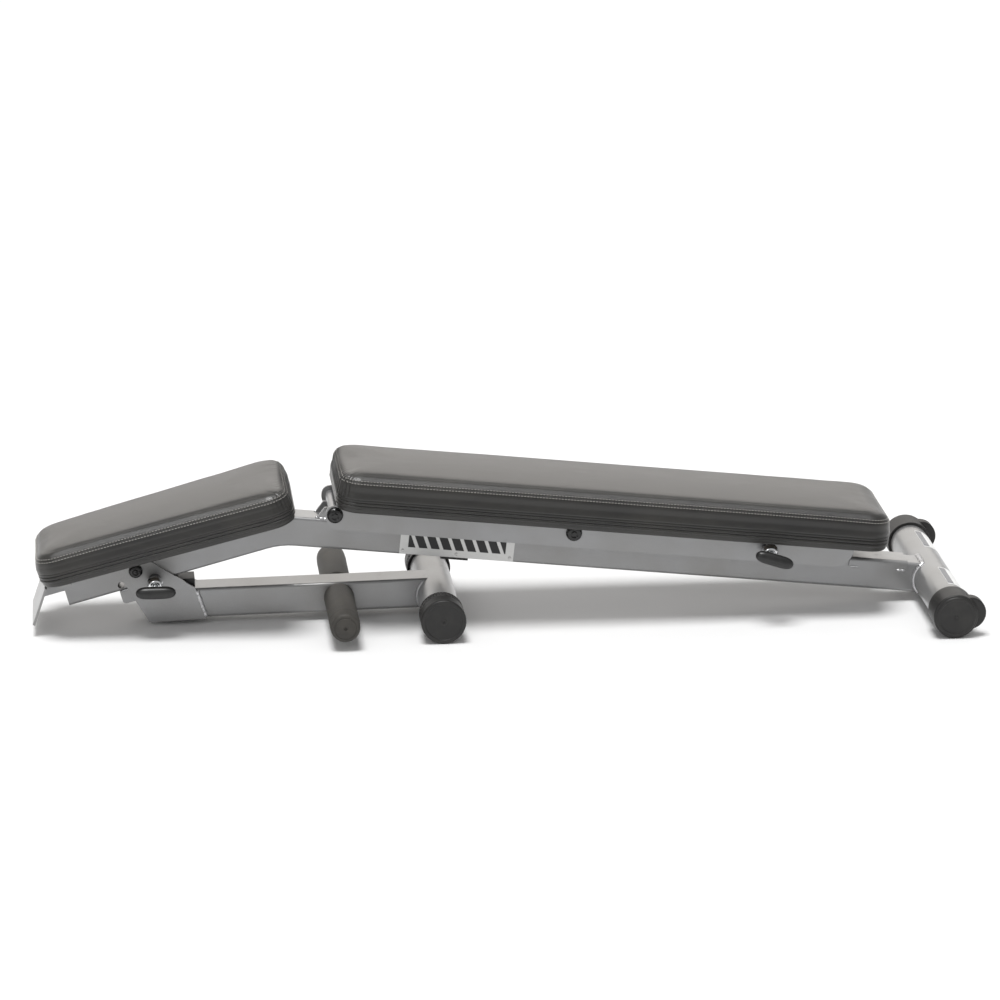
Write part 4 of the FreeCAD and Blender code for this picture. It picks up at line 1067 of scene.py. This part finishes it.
@dataclass
class BoltCaps:
    """Ribbed plastic caps over the pivot bolts, with a crowned face and a moulded ring."""

    name: str
    node: str
    body: str
    spots: list[tuple[float, float]]
    face: float
    radius: float

    def build(self, finishes: Finishes) -> None:
        """Make one cap at each spot and side; the first stands for the CAD node."""
        deep = 0.0082
        profile = rounded_path([(0.0, deep, 0), (0.28 * self.radius, deep - 0.0002, 0.001),
                                (0.40 * self.radius, deep - 0.0014, 0.0006),
                                (0.52 * self.radius, deep - 0.0004, 0.0008),
                                (0.80 * self.radius, deep - 0.0012, 0.002),
                                (self.radius, 0.0044, 0.0012), (self.radius, 0.0012, 0.0004),
                                (self.radius + 0.0004, 0.0, 0), (0.0, 0.0, 0)], False, 6)
        number = 0
        for x, z in self.spots:
            for side in Side:
                piece = turned_piece(f"{self.name}_{number}", profile,
                                     (x, side.value * self.face, z), side, 96, 24, 0.0006,
                                     (0.0010, 0.0062))
                finishes.add(piece, GLOSS_PLASTIC, self.body, "black_plastic",
                             *([self.node] if number == 0 else []))
                number += 1


@dataclass
class PullPin:
    """Pull pin trim: a chromed dome with its collar, and the moulded T-handle."""

    prefix: str
    body: str
    pin_body: str
    slope: float
    bar_radius: float = 0.0105
    bar_half: float = 0.033

    def build(self, finishes: Finishes) -> None:
        """Build the dome and the handle where their CAD nodes are."""
        low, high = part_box(f"{self.prefix}_dome")
        centre = (float(low[0] + high[0]) / 2, float(high[1]), float(low[2] + high[2]) / 2)
        wide, deep = float(high[0] - low[0]) / 2, float(high[1] - low[1])
        dome = rounded_path([(0.0044, deep, 0), (0.0062, deep + 0.0002, 0.001),
                             (0.0105, deep - 0.0006, 0.0065), (wide, 0.0042, 0.0022),
                             (wide - 0.0006, 0.0030, 0.0006), (wide, 0.0016, 0.0006),
                             (wide, 0.0, 0), (0.0044, 0.0, 0), (0.0044, deep, 0)], False, 10)
        finishes.add(turned_piece(f"{self.prefix}_chrome_dome", dome, centre, Side.LEFT, 72),
                     CHROME, self.body, "chrome", f"{self.prefix}_dome")
        self.handle(finishes)

    def handle(self, finishes: Finishes) -> None:
        """Bar with full round ends, a flat moulded panel and a neck that flows into it.

        The bar is a circle carried along a line; its radius follows a superellipse to the ends
        and swells a little towards the middle.
        """
        low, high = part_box(f"{self.prefix}_handle")
        middle = SlopedFrame(float(low[0] + high[0]) / 2, float(low[2] + high[2]) / 2, self.slope)
        axis_y = float(low[1]) + self.bar_radius
        share = np.sin(np.linspace(-math.pi / 2, math.pi / 2, 49))
        radius = self.bar_radius * (1 - np.abs(share) ** 5.0) ** 0.5 * (0.95 + 0.05 * (1 - share ** 2))
        angle = np.linspace(0, 2 * math.pi, 48, endpoint=False)
        flat = 1 - 0.05 * np.abs(np.cos(angle)) ** 6
        parting = 1 + 0.022 * np.exp(-((np.sin(angle)) / 0.05) ** 2)
        wide = radius[:, None] * (flat * parting)[None]
        points = np.stack([share[:, None] * self.bar_half + 0 * wide,
                           axis_y + wide * np.cos(angle)[None], wide * np.sin(angle)[None]], -1)
        bar = mesh_piece(f"{self.prefix}_grip_bar", middle.place(points).reshape(-1, 3),
                         grid_quads(len(share), len(angle), True))
        finishes.add(bar, BLACK_PLASTIC, self.pin_body, "black_plastic", f"{self.prefix}_handle")
        neck = float(high[1]) - axis_y
        height = np.linspace(0.0, neck, 24)
        flare = 0.0070 + 0.0030 * np.exp(-height / 0.0045) + 0.0004 * np.sin(height * 900.0)
        profile = np.concatenate([[[0.0, 0.0]], np.stack([flare, height], -1), [[0.0041, neck]]])
        collar = turned_piece(f"{self.prefix}_grip_neck", profile, (middle.x, axis_y, middle.z),
                              Side.RIGHT, 40)
        finishes.add(collar, BLACK_PLASTIC, self.pin_body, "black_plastic")


@dataclass
class Welds:
    """Weld beads at the joints that show."""

    rear: SlopedFrame
    front: SlopedFrame
    leg: SlopedFrame
    foot_radius: float = 0.0325
    tube_half: float = 0.0254
    bead: float = 0.0027
    lug_ends: tuple = (-1.050, -0.998)
    saddle_ends: tuple = (-0.1460, -0.0660)
    gusset_ends: tuple = (-0.2800, -0.2120)

    def saddle_loop(self, frame: SlopedFrame, across: float, rise: float) -> tuple:
        """Where a square tube meets a round cross tube.

        The loop is a rounded square in Y and Z, carried along X onto the round tube:
        x = -sqrt(radius squared - z squared).

        Args:
            frame: frame whose X axis is the square tube's axis, its origin on the round tube's.
            across: half width of the square tube.
            rise: height of the square tube's axis over the round tube's.
        Returns:
            Path points and their normals in the row frame.
        """
        loop = spaced(rounded_path([(-across, -self.tube_half, 0.005), (-across, self.tube_half, 0.005),
                                    (across, self.tube_half, 0.005), (across, -self.tube_half, 0.005)],
                                   True), 240, True) * 1.02
        high = np.clip(loop[:, 1] + rise, -0.98 * self.foot_radius, 0.98 * self.foot_radius)
        reach = -np.sqrt(self.foot_radius ** 2 - high ** 2)
        local = np.stack([reach - 0.0006, loop[:, 0], high], -1)
        normal = np.stack([reach, loop[:, 0] * 0.9, high + loop[:, 1] * 0.5], -1)
        origin = frame.place(np.zeros(3))
        return frame.place(local), frame.place(normal) - origin

    def seam(self, finishes: Finishes, name: str, body: str, frame: SlopedFrame, start: tuple,
             end: tuple, outward: tuple, size: float = 1.0) -> None:
        """Lay one straight bead between two local points."""
        share = np.linspace(0, 1, 12)[:, None]
        path = np.array(start) * (1 - share) + np.array(end) * share
        origin = frame.place(np.zeros(3))
        facing = np.tile(frame.place(np.array(outward)) - origin, (12, 1))
        piece = weld_bead(name, frame.place(path), facing, self.bead * size, False)
        finishes.add(piece, WELD, body, "frame_paint")

    def build(self, finishes: Finishes) -> None:
        """Lay every bead."""
        path, facing = self.saddle_loop(self.rear, self.tube_half, 0.0)
        finishes.add(weld_bead("rear_foot_weld", path, facing, self.bead * 1.5, True), WELD,
                     "frame", "frame_paint")
        path, facing = self.saddle_loop(self.leg, 0.0262, 0.0)
        finishes.add(weld_bead("front_foot_weld", path, facing, self.bead, True), WELD, "leg",
                     "frame_paint")
        for side in Side:
            tag, sign = side.name.lower(), side.value
            face = sign * (self.tube_half + 0.0010)
            for label, reach in zip(("front", "rear"), self.lug_ends):
                self.seam(finishes, f"lug_weld_{label}_{tag}", "frame", self.rear,
                          (reach, sign * 0.0150, self.tube_half + 0.0006),
                          (reach, sign * 0.0210, self.tube_half + 0.0006), (0, 0, 1), 0.8)
            self.seam(finishes, f"lug_weld_side_{tag}", "frame", self.rear,
                      (-1.048, sign * 0.0215, self.tube_half + 0.0006),
                      (-1.000, sign * 0.0215, self.tube_half + 0.0006), (0, sign * 0.4, 1), 0.8)
            for label, reach in zip(("front", "rear"), self.saddle_ends):
                self.seam(finishes, f"saddle_weld_{label}_{tag}", "frame", self.rear,
                          (reach, face + sign * 0.0012, 0.0122),
                          (reach + 0.018, face + sign * 0.0012, 0.0122), (0, sign, -0.5), 0.7)
            for label, start, end in self.gusset_runs(*self.gusset_ends):
                self.seam(finishes, f"gusset_weld_{label}_{tag}", "frame", self.front,
                          (start, sign * self.tube_half, -self.tube_half),
                          (end, sign * self.tube_half, -self.tube_half), (0, sign, -0.6), 0.55)
        self.bracket_welds(finishes)

    def gusset_runs(self, start: float, end: float) -> list[tuple[str, float, float]]:
        """Parts of the gusset seam that stay clear of the lock pin's hole.

        Args:
            start: front end of the whole seam, along the seat tube.
            end: its rear end.
        Returns:
            Label, start and end of each part longer than the shortest bead.
        """
        low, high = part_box("leg_pin_plunger")
        hole = self.front.local((np.array(low) + np.array(high)) / 2)
        clear, shortest = 0.0095, 0.006
        if abs(float(hole[2]) + self.tube_half) > clear:
            return [("whole", start, end)]
        runs = [("front", start, float(hole[0]) - clear), ("rear", float(hole[0]) + clear, end)]
        return [run for run in runs if run[2] - run[1] > shortest]

    def bracket_welds(self, finishes: Finishes) -> None:
        """Upright beads where each leg bracket ends on the leg tube."""
        low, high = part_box("leg_bracket_left")
        _, tube_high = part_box("leg_tube")
        edge = float(high[0])
        for side in Side:
            y = side.value * 0.0288
            world = SlopedFrame(0.0, 0.0)
            self.seam(finishes, f"bracket_weld_{side.name.lower()}", "leg", world,
                      (edge + 0.0004, y, float(low[2]) + 0.0045),
                      (edge - 0.0155, y, float(tube_high[2]) - 0.006), (0.5, side.value, 0), 1.25)


@dataclass
class FootLabels:
    """Two blank stickers on the rear foot tube, each a patch bent round the tube."""

    centre_x: float
    centre_z: float
    radius: float = 0.0325

    def patch(self, finishes: Finishes, name: str, across: tuple[float, float],
              angles: tuple[float, float], lift: float, finish: object) -> None:
        """A closed thin patch: angle and Y are the two parameters, and the radius is constant.

        Args:
            finishes: where finishes come from.
            name: name of the piece.
            across: its two ends along Y.
            angles: its two edges in degrees from straight up towards the rear.
            lift: height over the tube.
            finish: its finish.
        """
        angle = np.radians(np.linspace(angles[0], angles[1], 20))[:, None]
        y = np.linspace(across[0], across[1], 12)[None, :]
        sheets = []
        for radius in (self.radius + lift, self.radius - 0.0002):
            sheets.append(np.stack([self.centre_x + radius * np.sin(angle) + 0 * y, y + 0 * angle,
                                    self.centre_z + radius * np.cos(angle) + 0 * y], -1))
        outer, inner = sheets
        loop = np.concatenate([outer, inner[:, ::-1]], axis=1)
        quads = grid_quads(20, 24, True)
        ends = np.stack([np.arange(11), np.arange(1, 12), 22 - np.arange(11), 23 - np.arange(11)], -1)
        quads = np.concatenate([quads, ends, ends + 19 * 24])
        piece = mesh_piece(name, loop.reshape(-1, 3), quads, weld=1e-7)
        finishes.add(piece, finish, "frame", "name_metal")

    def build(self, finishes: Finishes) -> None:
        """Make a pale patch and a dark band on each side of the tube."""
        for side, start in ((Side.LEFT, -0.150), (Side.RIGHT, 0.055)):
            tag = side.name.lower()
            self.patch(finishes, f"plain_label_{tag}", (start, start + 0.090), (2.0, 62.0), 0.00035,
                       LABEL)
            self.patch(finishes, f"label_band_{tag}", (start + 0.004, start + 0.086), (3.0, 21.0),
                       0.0005, LABEL_BAND)


# ------------------------------------------------------------------ carried-over nodes, stage
NODE_FINISH = {
    PAINT: ("main_tube rear_crosstube rear_saddle rack_strips hinge_lugs hinge_sleeve stop_gussets "
            "front_tongue front_end_plate seat_straps leg_tube leg_bracket_left leg_bracket_right "
            "front_crosstube back_straps back_rail_left back_rail_right strut_bars "
            "strut_foot_bar strut_brace"),
    CAP_RUBBER: ("rear_cap_left rear_cap_right front_cap_left front_cap_right rest_stop frame_bumper "
                 "leg_end_plug transport_roller_left transport_roller_right"),
    BLACK_PLASTIC: ("tube_end_plug leg_bolt_caps back_bolt_caps leg_pin_handle back_pin_handle "
                    "leg_pin_housing back_pin_housing"),
    GRIP_FOAM: "foot_grip_left foot_grip_right",
    CHROME: "leg_pin_dome back_pin_dome leg_pin_plunger back_pin_plunger",
    ZINC: ("roller_axles seat_screws back_screws hinge_bolt strut_pivot_bolts leg_pivot_bolt "
           "leg_pin_spring back_pin_spring foot_bar nameplate_rivets"),
    BRONZE: "pivot_bushing",
    VINYL: "seat_cover back_cover",
    FOAM: "seat_foam back_foam",
    PLYWOOD: "seat_board back_board",
}


@dataclass
class Studio:
    """Pale floor, soft lights and the camera."""

    distance: float = 7.2287
    lift: float = 17.029
    swing: float = 5.836
    aim: tuple = (-0.0011, 0.0, 0.19245)
    lens: float = 155.68
    sun: float = 2.45
    sun_spread: float = 24.0
    sky: float = 0.46

    def camera(self) -> None:
        """Place the camera on its line of sight through the aim point."""
        rise, turn = math.radians(self.lift), math.radians(self.swing)
        sight = Vector((math.sin(turn) * math.cos(rise), math.cos(turn) * math.cos(rise),
                        -math.sin(rise)))
        data = bpy.data.cameras.new("view")
        data.lens, data.sensor_width, data.clip_end = self.lens, 36.0, 60.0
        camera = bpy.data.objects.new("view", data)
        camera.location = Vector(self.aim) - sight * self.distance
        camera.rotation_euler = sight.to_track_quat("-Z", "Y").to_euler()
        bpy.context.scene.collection.objects.link(camera)
        bpy.context.scene.camera = camera

    def light(self, name: str, place: tuple, aim: tuple, size: tuple, power: float,
              colour: tuple = (1.0, 1.0, 1.0)) -> None:
        """Add one soft rectangular light.

        Args:
            name: name of the light.
            place: where it hangs.
            aim: the point that it faces.
            size: its two sides in metres.
            power: its power in watts.
            colour: its colour.
        """
        data = bpy.data.lights.new(name, "AREA")
        data.color = colour
        data.shape, data.size, data.size_y, data.energy = "RECTANGLE", size[0], size[1], power
        lamp = bpy.data.objects.new(name, data)
        lamp.location = place
        lamp.rotation_euler = (Vector(aim) - Vector(place)).to_track_quat("-Z", "Y").to_euler()
        bpy.context.scene.collection.objects.link(lamp)

    def overhead(self) -> None:
        """Even light from a wide patch of sky over the bench, a little to the front."""
        data = bpy.data.lights.new("overhead", "SUN")
        data.energy, data.angle = self.sun, math.radians(self.sun_spread)
        lamp = bpy.data.objects.new("overhead", data)
        lamp.rotation_euler = Vector((0.10, 0.10, -1.0)).to_track_quat("-Z", "Y").to_euler()
        bpy.context.scene.collection.objects.link(lamp)

    def build(self, finishes: Finishes) -> None:
        """Make the floor, the sky light and the lamps."""
        reach = np.linspace(-14.0, 14.0, 9)
        x, y = np.meshgrid(reach, reach + 4.0, indexing="ij")
        points = np.stack([x, y, 0 * x - 0.0004], -1)
        floor = mesh_piece("floor", points.reshape(-1, 3), grid_quads(9, 9, False))
        if floor.data.polygons[0].normal.z < 0:
            floor.data.flip_normals()
        finishes.dress(floor, FLOOR)
        world = bpy.data.worlds.new("sky")
        world.use_nodes = True
        world.node_tree.nodes["Background"].inputs["Color"].default_value = (1.0, 1.0, 1.0, 1.0)
        world.node_tree.nodes["Background"].inputs["Strength"].default_value = self.sky
        bpy.context.scene.world = world
        bpy.context.scene.view_settings.view_transform = "Standard"
        self.overhead()
        self.light("back_light", (-0.4, 4.6, 2.1), (0.0, 0.0, 0.2), (7.5, 2.6), 66.0,
                   (1.0, 0.95, 0.89))
        self.light("front_light", (-2.2, -3.6, 2.6), (0.0, 0.0, 0.1), (2.0, 1.2), 14.0)
        self.camera()


@dataclass
class Bench:
    """The whole bench: works out the sloped frames from the joints and builds every class."""

    joints: dict
    nodes: dict
    front_slope: float = 14.95
    leg_slope: float = 0.75
    foot_from_hinge: tuple = (1.024, -0.0445)
    knee_from_pivot: tuple = (0.2475, -0.0033)
    plate_corner: tuple = (-0.716, -0.0235)
    back_corner: float = 0.038
    seat_corner: float = 0.040
    seat_taper: float = 0.782
    handle_turn: float = 12.0

    def frames(self) -> dict[str, SlopedFrame]:
        """The frames of the rear tube, the seat tube and the leg tube."""
        hinge = np.array(self.joints["backrest_tilt"]["pos_m"])
        strut = np.array(self.joints["strut_swing"]["pos_m"])
        slope = math.degrees(math.atan2(hinge[2] - strut[2], strut[0] - hinge[0]))
        at_hinge = SlopedFrame(float(hinge[0]), float(hinge[2]), slope)
        pivot = np.array(self.joints["leg_fold"]["pos_m"])
        at_pivot = SlopedFrame(float(pivot[0]), float(pivot[2]), -self.front_slope)
        low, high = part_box("front_cap_left")
        leg = SlopedFrame(float(low[0] + high[0]) / 2, float(low[2] + high[2]) / 2, -self.leg_slope)
        return {"rear": at_hinge.moved(*self.foot_from_hinge),
                "front": at_pivot.moved(*self.knee_from_pivot), "leg": leg}

    def cushion(self, name: str, body: str, frame: SlopedFrame, taper: float, corner: float,
                gathered: GatheredEnd) -> Cushion:
        """Measure a CAD cover in its sloped frame and lay a cushion out on it.

        Args:
            name: back or seat.
            body: the body that carries it.
            frame: frame of the tube under it.
            taper: front width over rear width.
            corner: radius of the plan corners.
            gathered: the end with gathers.
        Returns:
            The cushion, ready to build.
        """
        cover = self.nodes[f"{name}_cover"]
        local = frame.local(corner_places(cover.data) @ np.array(cover.matrix_world.to_3x3()).T
                            + np.array(cover.matrix_world.translation))
        low, high = local.min(0), local.max(0)
        return Cushion(f"{name}_pad", cover.name, body,
                       frame.moved(float(high[0]), float(low[2])), float(high[0] - low[0]),
                       float(high[1]), float(high[1]) * taper, corner, float(high[2] - low[2]),
                       gathered)

    def build(self) -> None:
        """Dress the CAD nodes and add every new piece."""
        finishes = Finishes()
        for finish, names in NODE_FINISH.items():
            for name in names.split():
                finishes.dress(self.nodes[name], finish)
        frames = self.frames()
        plate = frames["rear"].moved(*self.plate_corner)
        finishes.dress(self.nodes["nameplate"], PrintedPlate(plate))
        self.cushion("back", "backrest", frames["rear"], 1.0, self.back_corner,
                     GatheredEnd.FRONT).build(finishes)
        self.cushion("seat", "frame", frames["front"], self.seat_taper, self.seat_corner,
                     GatheredEnd.REAR).build(finishes)
        for side in Side:
            tag = side.name.lower()
            FootCap(f"rear_cap_{tag}", side, "frame").build(finishes)
            FootCap(f"front_cap_{tag}", side, "leg").build_whole(finishes)
            Grip(f"foot_grip_{tag}", side).build(finishes)
        pivot, hinge = self.joints["leg_fold"]["pos_m"], self.joints["backrest_tilt"]["pos_m"]
        strut = self.joints["strut_swing"]["pos_m"]
        BoltCaps("leg_pivot_cap", "leg_bolt_caps", "leg", [(pivot[0], pivot[2])], 0.0310,
                 0.0112).build(finishes)
        BoltCaps("back_pivot_cap", "back_bolt_caps", "backrest",
                 [(hinge[0], hinge[2]), (strut[0], strut[2])], 0.0600, 0.0132).build(finishes)
        PullPin("leg_pin", "leg", "leg_pin", 0.0).build(finishes)
        PullPin("back_pin", "backrest", "back_pin",
                frames["rear"].slope + self.handle_turn).build(finishes)
        Welds(frames["rear"], frames["front"], frames["leg"]).build(finishes)
        FootLabels(frames["rear"].x, frames["rear"].z).build(finishes)
        Studio().build(finishes)


def main(frame: dict) -> None:
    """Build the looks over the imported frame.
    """
    logging.basicConfig(level=logging.INFO, format="%(name)s: %(message)s")
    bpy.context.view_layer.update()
    Bench({joint["name"]: joint for joint in frame["joints"]}, frame["nodes"]).build()


if __name__ == "__main__":
    main(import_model())
